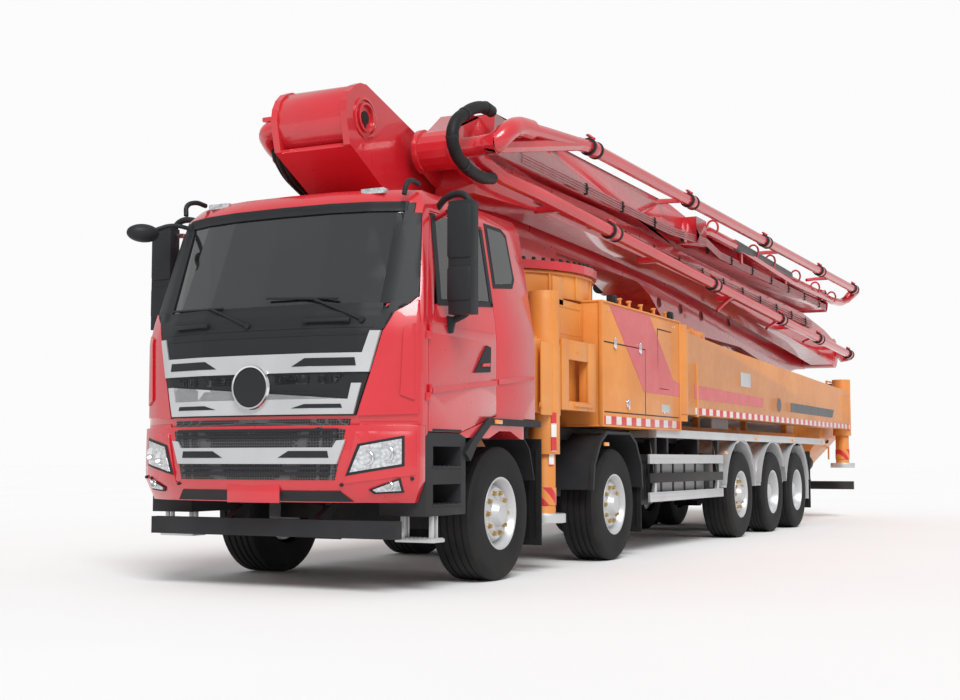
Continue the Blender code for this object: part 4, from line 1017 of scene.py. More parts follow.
def makeHoses():
    arc = [(0.96, 0.34, 3.955), (1.00, 0.14, 3.935), (1.01, -0.08, 3.88), (1.01, -0.26, 3.79),
           (1.01, -0.42, 3.68),
           (1.01, -0.47, 3.56), (1.01, -0.42, 3.45), (1.01, -0.27, 3.37), (1.00, 0.06, 3.33),
           (0.97, 0.34, 3.37)]
    elbow = [(1.03, 0.05, 3.59), (1.13, 0.07, 3.61), (1.19, 0.15, 3.70), (1.20, 0.34, 3.79),
             (1.20, 0.62, 3.83)]
    tubes("neck_elbow", [[at(*p) for p in elbow]], 0.088, "red_paint", "boom_3", sides=8)
    tubes("neck_pipe", [[at(1.20, 0.56, 3.828), at(1.20, 1.20, 3.888), at(1.20, 1.98, 3.955)]], 0.060,
          "red_paint",
          "boom_3", sides=8)
    tubes("neck_hose_sleeve", [[at(*p) for p in arc]], 0.052, "hose", "boom_2", "dark_plastic", sides=6)
    ties = bmesh.new()
    for spot, near in zip(arc[1:9:2], arc[2:10:2]):
        along = (at(*near) - at(*spot)).normalized()
        addRod(ties, at(*spot) - along * 0.012, at(*spot) + along * 0.012, 0.057, 20, 0.003)
    finished(ties, "neck_hose_ties", "dark_plastic", "boom_2")

    bundle = []
    for count in range(5):
        aside, low = -0.50 - 0.045 * (count % 3), 0.035 * (count // 3)
        bundle.append([at(aside, -0.50, 3.70 - low), at(aside - 0.02, -0.62, 3.60 - low),
                       at(aside, -0.56, 3.44 - low),
                       at(aside + 0.03, -0.36, 3.30 - low), at(aside + 0.05, -0.05, 3.20 - low),
                       at(aside + 0.06, 0.35, 3.10 - low)])
    tubes("root_hoses", bundle, 0.026, "hose", "turret", "dark_plastic", sides=4)
    loops = []
    for count in range(4):
        x = 0.10 + 0.05 * count
        loops.append([at(x, 0.75, 2.98), at(x + 0.02, 0.62, 2.90), at(x + 0.02, 0.80, 2.84),
                      at(x, 1.10, 2.87)])
    tubes("turret_hoses", loops, 0.020, "hose", "turret", "dark_plastic", sides=3)
    elbow = [at(-0.34, -0.75, 3.72), at(-0.48, -0.75, 3.72), at(-0.60, -0.72, 3.70), at(-0.65, -0.60, 3.64),
             at(-0.65, -0.42, 3.56)]
    tubes("root_elbow", [elbow], 0.078, "red_paint", "turret", sides=8)
    flanges = bmesh.new()
    addRod(flanges, at(-0.36, -0.75, 3.72), at(-0.40, -0.75, 3.72), 0.125, 32, 0.006)
    addRod(flanges, at(-0.65, -0.46, 3.578), at(-0.65, -0.40, 3.552), 0.095, 28, 0.006)
    addBlock(flanges, at(-0.62, -0.79, 3.785), at(-0.48, -0.71, 3.825), 0.008)
    finished(flanges, "root_elbow_flanges", "red_paint", "turret")


def makeBosses():
    rings = bmesh.new()
    keys = bmesh.new()
    for back, z, body, x, size in ((-0.75, 3.72, "turret", 0.36, 1.0),):
        for radius, width, out in ((0.165, 0.020, 0.012), (0.120, 0.016, 0.024)):
            addSpin(rings, [(radius, -0.004), (radius, out), (radius - 0.005, out + 0.003),
                            (radius - width, out + 0.003),
                            (radius - width - 0.004, out - 0.004), (radius - width - 0.004, -0.004),
                            (radius, -0.004)],
                    at(x, back, z), 48)
        addRod(keys, at(x - 0.002, back, z), at(x + 0.006, back, z), 0.055, 28)
        addBlock(keys, at(x - 0.002, back - 0.012, z - 0.095), at(x + 0.006, back + 0.012, z), 0.002)
    closeUp(rings)
    finished(rings, "root_boss_rings", "red_paint", "turret")
    finished(keys, "root_boss_hole", "dark_steel", "turret")

    # painted shade: each lightening hole is a flat dark disc on the side face, standing in for the unlit inside
    # seen through the hole; the red rims are real
    hole_shade = bmesh.new()
    rims = bmesh.new()
    for back, z in ((6.6, 2.98), (7.47, 2.98), (8.38, 2.97), (9.71, 2.99)):
        x = sideOf("boom_1", 0.43, back, z, 1)
        if x is not None:
            addRod(hole_shade, at(x - 0.002, back, z), at(x + 0.004, back, z), 0.060, 28)
            addSpin(rims, [(0.074, -0.002), (0.074, 0.008), (0.066, 0.010), (0.060, 0.004), (0.060, -0.002),
                           (0.074, -0.002)],
                    at(x, back, z), 32)
    closeUp(rims)
    finished(hole_shade, "boom_1_hole_shade_discs", "dark_steel", "boom_1")
    finished(rims, "boom_1_hole_rims", "red_paint", "boom_1")


def makeReturnPipe():  # the grey sleeve and red hooks on the return pipe
    sleeve = bmesh.new()
    addRod(sleeve, at(0.96, 7.7, 3.835), at(0.96, 10.6, 3.765), 0.072, 28, 0.006)
    finished(sleeve, "return_pipe_sleeve", "sleeve_grey", "boom_3", "dark_plastic")
    hooks = []
    for back in (6.6, 8.5, 9.4, 10.9, 12.2, 13.4):
        z = 3.835 - (back - 7.7) * 0.024
        hooks.append([at(0.93, back, z + 0.02), at(0.95, back, z + 0.10), at(1.02, back, z + 0.12),
                      at(1.07, back, z + 0.05), at(1.05, back, z - 0.05)])
    tubes("return_pipe_hooks", hooks, 0.014, "red_paint", "boom_3", sides=3)
    cross = []
    for back in (6.8, 9.2, 11.4):
        cross.append([at(0.98, back, 2.93 - 0.01 * back), at(1.10, back + 0.25, 3.10 - 0.03 * back + 0.15),
                      at(1.14, back + 0.55, 3.38 - 0.04 * (back + 0.55))])
    tubes("delivery_braces", cross, 0.022, "red_paint", "boom_2", sides=3)


def makeSlewing():
    bolts = bmesh.new()
    for count in range(64):
        turn = 2 * math.pi * count / 64
        spot = at(math.cos(turn) * 1.06, 2.20 + math.sin(turn) * 1.06, 2.826)
        addRod(bolts, spot, spot + Vector((0, 0, 0.012)), 0.026, 12)
        addRod(bolts, spot, spot + Vector((0, 0, 0.036)), 0.018, 6, 0.002)
    finished(bolts, "slewing_bolts", "dark_steel", "turret")
    ribs = bmesh.new()
    for count in range(18):
        turn = math.radians(20 * count + 10)
        turned = Matrix.Rotation(turn, 3, "Z")
        new = addBlock(ribs, (0.96, -0.010, 2.50), (1.062, 0.010, 2.74), 0.003)
        bmesh.ops.translate(ribs, vec=(0, 0, 0), verts=new)
        bmesh.ops.rotate(ribs, cent=(0, 0, 0), matrix=turned, verts=new)
        bmesh.ops.translate(ribs, vec=at(0, 2.20, 0), verts=new)
    addSpin(ribs, [(1.035, 2.715), (1.066, 2.715), (1.066, 2.735), (1.035, 2.735), (1.035, 2.715)],
            at(0, 2.20, 0), 72,
            (0, 0, 1))
    closeUp(ribs)
    finished(ribs, "drum_ribs", "orange_paint", "truck")


makeCouplings()
makeLines()
makeHoses()
makeBosses()
makeReturnPipe()
makeSlewing()
print("boom finished")

box = {"face": 1.25, "front": 2.15, "back": 4.48, "low": 1.30, "top": 2.49}
arm = {"face": 1.236, "front": 5.02, "back": 13.66, "low": 1.46}


def stripAlong(bm, side, face, back0, back1, low, high):
    addBlock(bm, at(side * (face - 0.004), back0, low), at(side * (face + 0.004), back1, high), 0.0015)


def makeSideBox(side, word):
    plane = onPlane(side * box["face"], side)
    stripe = [(2.34, 2.475), (3.50, 2.475), (4.25, 1.84), (4.465, 1.815), (4.465, 1.665), (3.32, 1.665)]
    facing(f"box_stripe_{word}", [stripe], "side_stripe", 0.003, 0.006, settle=plane, slot="red_paint",
           step=0.5)
    seams = bmesh.new()
    for a0, z0, a1, z1 in ((2.20, 2.10, 3.36, 2.112), (3.352, 1.43, 3.364, 2.112), (2.20, 1.425, 4.42, 1.437),
                           (3.74, 1.95, 3.752, 2.36), (3.74, 2.35, 4.20, 2.362), (3.80, 1.72, 4.10, 1.73)):
        stripAlong(seams, side, box["face"] - 0.001, a0, a1, z0, z1)
    finished(seams, f"box_seams_{word}", "dark_steel", "truck")
    latches = bmesh.new()
    for back, z in ((2.48, 2.106), (3.19, 2.106)):
        addBlock(latches, at(side * 1.248, back - 0.035, z - 0.045),
                 at(side * 1.268, back + 0.035, z + 0.045), 0.006)
        addRod(latches, at(side * 1.262, back, z - 0.055), at(side * 1.262, back, z + 0.055), 0.012, 12,
               0.003)
    addRod(latches, at(side * 1.248, 2.83, 1.53), at(side * 1.264, 2.83, 1.53), 0.045, 24, 0.004)
    addBlock(latches, at(side * 1.262, 2.815, 1.47), at(side * 1.276, 2.845, 1.56), 0.004)
    for back, z in ((3.94, 1.47), (4.30, 2.42), (2.30, 2.42)):
        addRod(latches, at(side * 1.248, back, z), at(side * 1.258, back, z), 0.014, 12, 0.002)
    finished(latches, f"box_latches_{word}", "chrome", "truck")
    plates = bmesh.new()
    addBlock(plates, at(side * 1.248, 3.86, 1.475), at(side * 1.254, 4.12, 1.56), 0.002)
    finished(plates, f"box_blank_plate_{word}", "silver_paint", "truck")
    strip = bmesh.new()
    stripAlong(strip, side, box["face"], 2.20, 4.44, 1.312, 1.392)
    finished(strip, f"box_reflector_{word}", "bands", "truck", "red_paint")
    edges = bmesh.new()
    for z in (box["low"] - 0.012, box["top"] - 0.006):
        addBlock(edges, at(side * 0.56, 2.14, z), at(side * 1.262, 4.49, z + 0.018), 0.004)
    for back in (2.142, 4.468):
        addBlock(edges, at(side * 1.22, back - 0.006, 1.30), at(side * 1.262, back + 0.018, 2.49), 0.004)
    finished(edges, f"box_edges_{word}", "orange_paint", "truck")

    cleats = bmesh.new()
    for back in (2.85, 3.12, 3.47, 3.87, 4.25):
        addBlock(cleats, at(side * 1.13, back - 0.04, 2.49), at(side * 1.20, back + 0.04, 2.515), 0.005)
        addBlock(cleats, at(side * 1.15, back - 0.015, 2.505), at(side * 1.18, back + 0.015, 2.575), 0.005)
        addRod(cleats, at(side * 1.165, back - 0.06, 2.575), at(side * 1.165, back + 0.05, 2.59), 0.012, 10,
               0.002)
    finished(cleats, f"box_levers_{word}", "orange_paint", "truck")
    lamps = bmesh.new()
    for back in (4.36, 2.62):
        addBlock(lamps, at(side * 1.13, back - 0.05, 2.50), at(side * 1.21, back + 0.05, 2.60), 0.012)
        addRod(lamps, at(side * 1.205, back, 2.55), at(side * 1.218, back, 2.55), 0.034, 20, 0.003)
    finished(lamps, f"box_lamps_{word}", "dark_plastic", "truck")
    walk = bmesh.new()
    for k in range(10):
        back = 2.25 + 0.22 * k
        addBlock(walk, at(side * 0.66, back, 2.488), at(side * 1.08, back + 0.10, 2.497), 0.001)
    finished(walk, f"box_treads_{word}", "dark_steel", "truck")


def makeHinge(side, word):
    plates = bmesh.new()
    for z in (2.40, 2.25, 1.60, 1.43):
        addRod(plates, at(side * 1.05, 4.76, z), at(side * 1.05, 4.76, z + 0.035), 0.185, 36, 0.006)
        addBlock(plates, at(side * 0.86, 4.50, z + 0.002), at(side * 1.20, 4.76, z + 0.033), 0.004)
    addRod(plates, at(side * 1.05, 4.76, 1.36), at(side * 1.05, 4.76, 2.52), 0.065, 28, 0.008)
    for z in (1.39, 2.50):
        addRod(plates, at(side * 1.05, 4.76, z - 0.02), at(side * 1.05, 4.76, z + 0.02), 0.095, 6, 0.006)
    finished(plates, f"hinge_plates_{word}", "orange_paint", "truck")


def makeRearArm(side, word):
    body = f"rear_outrigger_{word}"
    plane = onPlane(side * arm["face"], side)
    stripe = [(5.05, 1.825), (8.05, 1.79), (7.96, 1.665), (5.05, 1.665)]
    facing(f"{body}_stripe", [stripe], "side_stripe", 0.003, 0.006, body, plane, "red_paint", 1.0)
    facing(f"{body}_bar", [[(9.50, 1.655), (9.50, 1.785), (12.32, 1.775), (12.20, 1.645)]], "sleeve_grey",
           0.003, 0.006,
           body, plane, "dark_plastic", 1.0)
    facing(f"{body}_disc", [[(8.85 + 0.12 * math.cos(k / 4 * math.pi),
                              1.73 + 0.10 * math.sin(k / 4 * math.pi))
                            for k in range(8)]], "sleeve_grey", 0.003, 0.006, body, plane, "dark_plastic",
                            1.0)
    strip = bmesh.new()
    stripAlong(strip, side, arm["face"], arm["front"] + 0.05, arm["back"] - 0.05, arm["low"] + 0.03,
               arm["low"] + 0.105)
    finished(strip, f"{body}_reflector", "bands", body, "red_paint")
    edges = bmesh.new()
    for back in (5.15, 13.55):
        addBlock(edges, at(side * 1.20, back - 0.03, 1.46), at(side * 1.243, back + 0.03, 2.08), 0.004)
    finished(edges, f"{body}_edges", "orange_paint", body)
    plate = bmesh.new()
    addBlock(plate, at(side * 1.234, 6.95, 1.90), at(side * 1.240, 7.40, 2.08), 0.002)
    finished(plate, f"{body}_blank_plate", "silver_paint", body)
    ram = bmesh.new()
    addRod(ram, at(side * 1.02, 4.98, 2.47), at(side * 1.02, 5.55, 2.47), 0.050, 24, 0.006)
    addRod(ram, at(side * 1.02, 5.50, 2.47), at(side * 1.02, 5.60, 2.47), 0.062, 24, 0.006)
    for x in (0.955, 1.065):
        addBlock(ram, at(side * x, 5.55, 2.36), at(side * (x + 0.022), 5.95, 2.50), 0.006)
    addRod(ram, at(side * 0.95, 5.82, 2.46), at(side * 1.095, 5.82, 2.46), 0.030, 18, 0.003)
    finished(ram, f"{body}_ram", "orange_paint", body)
    bandsPiece = bmesh.new()
    addSpin(bandsPiece, [(0.112, 0.98), (0.117, 0.985), (0.117, 1.145), (0.112, 1.15), (0.112, 0.98)],
            at(side * 1.09, 13.60, 0), 36, (0, 0, 1))
    closeUp(bandsPiece)
    finished(bandsPiece, f"rear_leg_{word}_bands", "leg_bands", f"rear_leg_{word}", "red_paint")


def makeFrontOutrigger(side, word):
    body = f"front_outrigger_{word}"
    lean = 0.10 if word == "right" else 0.0
    shell = bmesh.new()
    for k in range(3):
        x = 1.085 + 0.062 * k
        front = 0.735 + lean + 0.025 * k
        addBlock(shell, at(side * x, front, 1.40 - 0.02 * k),
                 at(side * (x + 0.018), 1.20 + lean, 2.06 - 0.03 * k), 0.006)
        addRod(shell, at(side * (x - 0.002), front + 0.03, 1.44), at(side * (x + 0.020), front + 0.03, 1.44),
               0.040, 24)
    finished(shell, f"{body}_plates", "orange_paint", body)
    window = bmesh.new()
    x0, x1 = 1.205, 1.228
    near = 1.235 + lean * 1.2
    for a0, z0, a1, z1 in ((near, 1.42, near + 0.155, 2.06), (1.86, 1.42, 2.05, 2.06),
                           (near + 0.155, 1.88, 1.86, 2.06),
                           (near + 0.155, 1.42, 1.86, 1.50)):
        addBlock(window, at(side * x0, a0, z0), at(side * x1, a1, z1), 0.0015)
    for a0, z0, a1, z1 in ((near + 0.125, 1.492, near + 0.150, 1.888), (1.865, 1.492, 1.89, 1.888)):
        addBlock(window, at(side * 1.13, a0, z0), at(side * 1.204, a1, z1), 0.003)
    addBlock(window, at(side * 1.06, near, 1.425), at(side * 1.08, 2.045, 2.055), 0.004)
    for z0, z1 in ((1.425, 1.445), (2.035, 2.052)):
        addBlock(window, at(side * 1.075, near + 0.01, z0), at(side * 1.21, 2.04, z1), 0.004)
    addRod(window, at(side * 1.21, 1.60, 1.96), at(side * 1.234, 1.60, 1.96), 0.016, 14, 0.002)
    addBlock(window, at(side * 1.09, 1.50, 1.455), at(side * 1.245, 1.95, 1.485), 0.004)
    finished(window, f"{body}_window", "orange_paint", "truck")
    label = bmesh.new()
    addBlock(label, at(side * 1.08, 1.46, 1.54), at(side * 1.084, 1.64, 1.74), 0.001)
    finished(label, f"{body}_blank_label", "silver_paint", "truck")
    cheek = bmesh.new()
    addBlock(cheek, at(side * 1.042, 1.42, 2.08), at(side * 1.062, 2.14, 2.46), 0.006)
    addBlock(cheek, at(side * 1.042, 1.42, 2.40), at(side * 1.062, 1.66, 2.66), 0.006)
    for a0, z0, a1, z1 in ((1.52, 2.14, 1.53, 2.40), (1.52, 2.14, 2.05, 2.15), (2.04, 2.14, 2.05, 2.40),
                           (1.52, 2.39, 2.05, 2.40)):
        addBlock(cheek, at(side * 1.060, a0, z0), at(side * 1.066, a1, z1), 0.001)
    finished(cheek, f"pedestal_cheek_{word}", "orange_paint", "truck")

    leg = f"front_leg_{word}"
    back = 1.10 + lean
    turn = Matrix.Rotation(math.radians(-30 * side), 3, "Z")
    for owner, radius, lows in ((leg, 0.104, (0.925,)), (body, 0.1415, (1.045, 1.165, 1.285))):
        strips = bmesh.new()
        for low in lows:
            spot = Vector((side * radius, 0, 0))
            spot.rotate(turn)
            new = addBlock(strips, (-0.004, -0.028, low), (0.004, 0.028, min(low + 0.118, 1.385)), 0.001,
                           turn)
            bmesh.ops.translate(strips, vec=at(side * 1.11, back, 0) + spot, verts=new)
        finished(strips, f"{owner}_strips", "leg_strips", owner, "red_paint")
    rings = bmesh.new()
    addSpin(rings, [(0.100, 0.57), (0.106, 0.575), (0.106, 0.725), (0.100, 0.73), (0.100, 0.57)],
            at(side * 1.11, back, 0), 36, (0, 0, 1))
    closeUp(rings)
    finished(rings, f"{leg}_bands", "leg_bands", leg, "red_paint")
    foot = bmesh.new()
    addSpin(foot, [(0.0, 0.552), (0.060, 0.552), (0.070, 0.50), (0.095, 0.475), (0.165, 0.458),
                   (0.172, 0.446),
                   (0.160, 0.442)], at(side * 1.11, back, 0), 40, (0, 0, 1))
    closeUp(foot)
    finished(foot, f"{leg}_foot_cap", "silver_paint", leg)


def sweepArch(bm, side, path, x0, x1, thick):
    inner = [Vector((0, frontAxle.y + a, z)) for a, z in path]
    middle = sum(inner, Vector()) / len(inner)
    outer = [p + (p - middle).normalized() * thick for p in inner]
    rows = []
    for x in (side * x0, side * x1):
        for line in (inner, outer):
            rows.append([bm.verts.new((x, p.y, p.z)) for p in line])
    loops = [rows[0], rows[1], rows[3], rows[2]]
    for one, two in zip(loops, loops[1:] + loops[:1]):
        for k in range(len(one) - 1):
            bm.faces.new((one[k], one[k + 1], two[k + 1], two[k]))
    for end in (0, -1):
        bm.faces.new([row[end] for row in loops])


def arcPath(back, z, radius, first, last, count=18):
    return [(back - radius * math.cos(math.radians(first + (last - first) * k / count)),
             z + radius * math.sin(math.radians(first + (last - first) * k / count))) for k in range(count + 1)]


def makeSides(side, word):
    arches = bmesh.new()
    second = [(1.90, 0.70), (1.94, 0.92), (2.10, 1.13), (2.26, 1.215), (2.86, 1.215), (3.02, 1.13),
              (3.17, 0.92), (3.20, 0.70)]
    sweepArch(arches, side, second, 0.80, 1.235, 0.018)
    sweepArch(arches, side, [(a, z + 0.004) for a, z in second], 1.225, 1.262, 0.040)
    first = [(-0.66, 0.86), (-0.56, 1.06), (-0.36, 1.20), (0.40, 1.20), (0.58, 1.06), (0.68, 0.80)]
    sweepArch(arches, side, first, 0.80, 1.20, 0.016)
    closeUp(arches)
    finished(arches, f"wheel_arches_{word}", "dark_plastic", "truck")
    caps = bmesh.new()
    for back in (6.99, 8.55, 9.90):
        sweepArch(caps, side, arcPath(back, 0.54, 0.685, 12, 168), 1.16, 1.225, 0.014)
        sweepArch(caps, side, arcPath(back, 0.54, 0.675, 10, 170), 0.62, 1.17, 0.006)
    closeUp(caps)
    finished(caps, f"fender_lips_{word}", "silver_paint", "truck")
    flaps = bmesh.new()
    for back, low, high in ((0.78, 0.24, 1.15), (3.27, 0.24, 1.02), (10.66, 0.26, 1.10)):
        addBlock(flaps, at(side * 0.80, back - 0.008, low), at(side * 1.225, back + 0.008, high), 0.003)
        for k in range(6):
            x = 0.84 + 0.065 * k
            addBlock(flaps, at(side * x, back - 0.014, low + 0.06),
                     at(side * (x + 0.022), back - 0.006, high - 0.10), 0.002)
    finished(flaps, f"mud_flaps_{word}", "hose", "truck", "dark_plastic")
    lamps = bmesh.new()
    for back, z, x in ((2.20, 1.12, 1.262), (6.30, 1.06, 1.215), (7.70, 1.255, 1.22), (9.66, 1.255, 1.22),
                       (11.55, 1.255, 1.22)):
        addBlock(lamps, at(side * (x - 0.004), back - 0.050, z - 0.018),
                 at(side * (x + 0.018), back + 0.050, z + 0.018), 0.006)
    finished(lamps, f"side_markers_{word}", "amber", "truck", "orange_paint")
    straps = bmesh.new()
    for back in (4.22, 4.62, 5.02, 5.42):
        addBlock(straps, at(side * 1.105, back - 0.022, 0.510), at(side * 1.118, back + 0.022, 1.028), 0.003)
        addBlock(straps, at(side * 0.58, back - 0.022, 1.016), at(side * 1.118, back + 0.022, 1.030), 0.003)
    addRod(straps, at(side * 0.98, 5.22, 1.01), at(side * 0.98, 5.22, 1.055), 0.055, 24, 0.006)
    finished(straps, f"tank_straps_{word}", "dark_steel", "truck")
    ribs = bmesh.new()
    for z in (0.585, 0.625, 0.955, 0.990):
        addBlock(ribs, at(side * 1.206, 3.62, z - 0.006), at(side * 1.216, 6.20, z + 0.006), 0.002)
    finished(ribs, f"guard_rail_ribs_{word}", "silver_paint", "truck")
    boxes = bmesh.new()
    addBlock(boxes, at(side * 0.55, 3.42, 0.50), at(side * 1.10, 3.98, 1.03), 0.015)
    addBlock(boxes, at(side * 0.52, 3.40, 0.95), at(side * 1.115, 4.00, 0.985), 0.008)
    addBlock(boxes, at(side * 0.55, 5.86, 0.55), at(side * 1.05, 6.18, 1.05), 0.015)
    for k in range(6):
        addBlock(boxes, at(side * 1.098, 3.46 + 0.085 * k, 0.55), at(side * 1.108, 3.50 + 0.085 * k, 0.92),
                 0.002)
    # painted shade: a long black slab inboard of the wheels and under the side box, filling the shaded gap
    # above the wheel tops
    addBlock(boxes, at(side * 0.50, 0.85, 1.16), at(side * 0.90, 5.9, 1.285), 0.01)
    finished(boxes, f"battery_boxes_and_shade_slab_{word}", "dark_plastic", "truck")


def makeChassis():
    tanks = bmesh.new()
    for side in (-1, 1):
        for back in (10.95, 11.95):
            addRod(tanks, at(side * 0.66, back, 0.92), at(side * 0.66, back + 0.80, 0.92), 0.135, 32, 0.030)
            for step in (0.18, 0.62):
                addRod(tanks, at(side * 0.66, back + step - 0.02, 0.92),
                       at(side * 0.66, back + step + 0.02, 0.92), 0.141, 32, 0.002)
                addBlock(tanks, at(side * 0.47, back + step - 0.02, 0.98),
                         at(side * 0.66, back + step + 0.02, 1.06), 0.003)
    finished(tanks, "air_tanks", "dark_steel", "truck")
    shafts = bmesh.new()
    for first, last, z0, z1 in ((0.85, 2.40, 0.84, 0.80), (2.70, 6.70, 0.78, 0.68), (7.28, 8.30, 0.62, 0.62),
                                (8.82, 9.64, 0.62, 0.62)):
        addRod(shafts, at(0, first, z0), at(0, last, z1), 0.050, 24, 0.004)
        for back, z in ((first, z0), (last, z1)):
            addRod(shafts, at(0, back - 0.045, z), at(0, back + 0.045, z), 0.080, 20, 0.008)
    finished(shafts, "drive_shafts", "dark_steel", "truck")
    springs = bmesh.new()
    for side in (-1, 1):
        for back in (0.0, 2.555, 7.77, 9.25):
            for leaf in range(5):
                half = 0.66 - 0.11 * leaf
                z = 0.815 - 0.019 * leaf
                addBlock(springs, at(side * 0.50, back - half, z), at(side * 0.58, back + half, z + 0.015),
                         0.003)
            addBlock(springs, at(side * 0.49, back - 0.06, 0.70), at(side * 0.59, back + 0.06, 0.86), 0.006)
    finished(springs, "leaf_springs", "dark_steel", "truck")
    ring = [at(0.62 + 0.20 * math.cos(k / 12 * math.pi), -0.66 + 0.10 * math.sin(k / 12 * math.pi),
               1.88 + 0.17 * math.sin(k / 12 * math.pi)) for k in range(25)]
    tubes("steering_wheel", [ring], 0.016, "dark_plastic", "truck", sides=4)
    hub = bmesh.new()
    addRod(hub, at(0.62, -0.66, 1.88), at(0.62, -0.90, 1.62), 0.032, 18, 0.004)
    addRod(hub, at(0.44, -0.66, 1.88), at(0.80, -0.66, 1.88), 0.014, 12)
    addRod(hub, at(0.62, -0.655, 1.885), at(0.62, -0.70, 1.84), 0.060, 24, 0.008)
    for x in (-0.30, -0.05, 0.20):
        addBlock(hub, at(x, -0.68, 1.95), at(x + 0.14, -0.66, 2.03), 0.006)
    finished(hub, "steering_column", "dark_plastic", "truck")


def makeRear():
    plates = bmesh.new()
    for side in (-1, 1):
        addBlock(plates, at(side * 0.62, 13.92, 1.70), at(side * 0.66, 14.30, 2.20), 0.008)
        addRod(plates, at(side * 0.74, 14.20, 1.66), at(side * 0.74, 14.20, 2.30), 0.085, 28, 0.010)
        addBlock(plates, at(side * 0.60, 14.05, 1.66), at(side * 0.90, 14.34, 1.72), 0.008)
    finished(plates, "rear_posts", "dark_plastic", "truck")
    rails = []
    for side in (-1, 1):
        rails.append([at(side * 0.90, 13.35, 1.72), at(side * 0.90, 13.35, 2.30),
                      at(side * 0.90, 13.85, 2.30),
                      at(side * 0.90, 13.85, 1.72)])
    tubes("rear_rails", rails, 0.018, "orange_paint", "truck", smooth=False, sides=3)
    lamps, cases, boards = bmesh.new(), bmesh.new(), bmesh.new()
    for side in (-1, 1):
        addBlock(cases, at(side * 0.62, 14.44, 0.475), at(side * 1.06, 14.475, 0.59), 0.008)
        for k in range(3):
            x = 0.70 + 0.14 * k
            addRod(lamps, at(side * x, 14.465, 0.533), at(side * x, 14.490, 0.533), 0.045, 24, 0.006)
        addBlock(boards, at(side * 0.90, 14.30, 0.90), at(side * 0.96, 14.36, 1.40), 0.006)
    finished(cases, "tail_lamp_cases", "dark_plastic", "truck")
    finished(lamps, "tail_lamps", "lens_red", "truck", "red_paint")
    finished(boards, "rear_reflectors", "bands", "truck", "red_paint")
    bars = bmesh.new()
    for k in range(12):
        x = -0.78 + 0.142 * k
        addRod(bars, at(x, 13.40, 1.738), at(x, 14.24, 1.738), 0.009, 10)
    for back in (13.42, 13.82, 14.22):
        addBlock(bars, at(-0.83, back - 0.02, 1.722), at(0.83, back + 0.02, 1.742), 0.003)
    finished(bars, "grate_bars", "dark_steel", "hopper_grate")
    mixer = bmesh.new()
    addRod(mixer, at(-0.82, 13.75, 1.30), at(0.82, 13.75, 1.30), 0.045, 24, 0.004)
    for k in range(8):
        x = -0.70 + 0.20 * k
        turn = Matrix.Rotation(math.radians(45 * k), 3, "X")
        new = addBlock(mixer, (-0.012, -0.05, 0.04), (0.012, 0.05, 0.26), 0.004)
        bmesh.ops.rotate(mixer, cent=(0, 0, 0), matrix=turn, verts=new)
        bmesh.ops.translate(mixer, vec=at(x, 13.75, 1.30), verts=new)
    finished(mixer, "agitator", "dark_steel", "truck")
    ribs = bmesh.new()
    for k in range(5):
        x = -0.70 + 0.35 * k
        addBlock(ribs, at(x - 0.012, 14.29, 0.98), at(x + 0.012, 14.335, 1.60), 0.004)
    addBlock(ribs, at(-0.88, 14.28, 1.63), at(0.88, 14.345, 1.70), 0.006)
    finished(ribs, "hopper_ribs", "orange_paint", "truck")
    deck = bmesh.new()
    for k in range(24):
        back = 5.35 + 0.295 * k
        addBlock(deck, at(-0.80, back, 1.998), at(0.80, back + 0.16, 2.008), 0.002)
    finished(deck, "deck_treads", "dark_steel", "truck")


for sideSign, sideWord in ((1, "left"), (-1, "right")):
    makeSideBox(sideSign, sideWord)
    makeHinge(sideSign, sideWord)
    makeRearArm(sideSign, sideWord)
    makeFrontOutrigger(sideSign, sideWord)
    makeSides(sideSign, sideWord)
makeChassis()
makeRear()
print("body finished")

studio = {"floorSize": 160.0, "floorColour": (0.93, 0.93, 0.93), "ambient": 0.52, "key": 2.35,
          "keySpread": 28.0, "glossShare": 0.22}


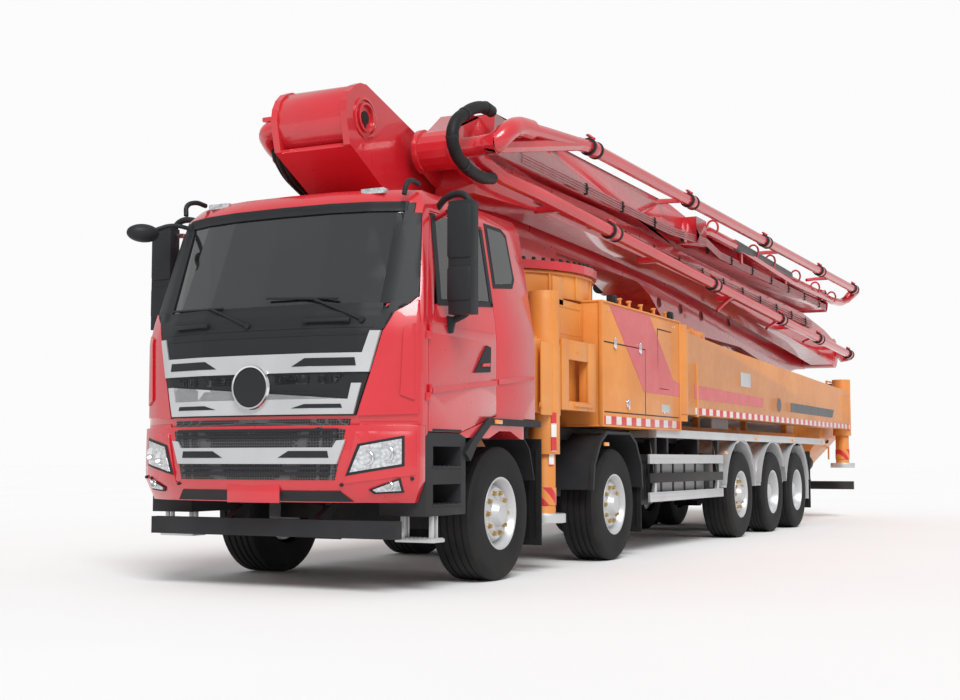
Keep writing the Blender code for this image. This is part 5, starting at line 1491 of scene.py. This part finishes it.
def makeStage():
    bm = bmesh.new()
    bmesh.ops.create_grid(bm, x_segments=8, y_segments=8, size=studio["floorSize"])
    mesh = bpy.data.meshes.new("floor")
    bm.to_mesh(mesh)
    bm.free()
    floor = bpy.data.objects.new("floor", mesh)
    bpy.context.scene.collection.objects.link(floor)
    ground = Finish("paleFloor", studio["floorColour"], 0.9)
    tone = ground.between(ground.noise(3.0, 3), 0.2, 0.8)
    ground.set("Base Color", ground.mixed(tone, rgb(0.93, 0.93, 0.93), rgb(0.955, 0.955, 0.955)))
    mesh.materials.append(ground.material)

    world = bpy.data.worlds.new("studio")
    bpy.context.scene.world = world
    world.use_nodes = True
    tree = world.node_tree
    tree.nodes.clear()
    sky = tree.nodes.new("ShaderNodeBackground")
    shown = tree.nodes.new("ShaderNodeBackground")
    rays = tree.nodes.new("ShaderNodeLightPath")
    either = tree.nodes.new("ShaderNodeMath")
    mix = tree.nodes.new("ShaderNodeMixShader")
    out = tree.nodes.new("ShaderNodeOutputWorld")
    sky.inputs["Color"].default_value = rgb(1.0, 1.0, 1.0)
    sky.inputs["Strength"].default_value = studio["ambient"]
    shown.inputs["Color"].default_value = rgb(0.97, 0.97, 0.97)
    shown.inputs["Strength"].default_value = 1.0
    tree.links.new(rays.outputs["Is Glossy Ray"], either.inputs[0])
    either.operation = "MULTIPLY_ADD"
    either.inputs[1].default_value = studio["glossShare"]
    tree.links.new(rays.outputs["Is Camera Ray"], either.inputs[2])
    tree.links.new(either.outputs[0], mix.inputs["Fac"])
    tree.links.new(sky.outputs[0], mix.inputs[1])
    tree.links.new(shown.outputs[0], mix.inputs[2])
    tree.links.new(mix.outputs[0], out.inputs["Surface"])

    light = bpy.data.lights.new("softKey", "SUN")
    light.energy = studio["key"]
    light.angle = math.radians(studio["keySpread"])
    lamp = bpy.data.objects.new("softKey", light)
    bpy.context.scene.collection.objects.link(lamp)
    lamp.rotation_euler = (math.radians(42), math.radians(18), math.radians(20))


makeStage()

cameraPlace = {"back": -10.091, "aside": 6.078, "height": 0.969, "turn": 26.607, "tilt": 4.573, "lens": 51.6}


def makeCamera():
    data = bpy.data.cameras.new("view")
    data.lens = cameraPlace["lens"]
    data.sensor_width = 36.0
    data.clip_end = 400.0
    camera = bpy.data.objects.new("view", data)
    bpy.context.scene.collection.objects.link(camera)
    camera.location = at(cameraPlace["aside"], cameraPlace["back"], cameraPlace["height"])
    camera.rotation_euler = (math.radians(90 + cameraPlace["tilt"]), 0, math.radians(cameraPlace["turn"]))
    bpy.context.scene.camera = camera


makeCamera()
bpy.context.scene.view_settings.view_transform = "Standard"
print("stage and camera made")


bpy.context.view_layer.update()
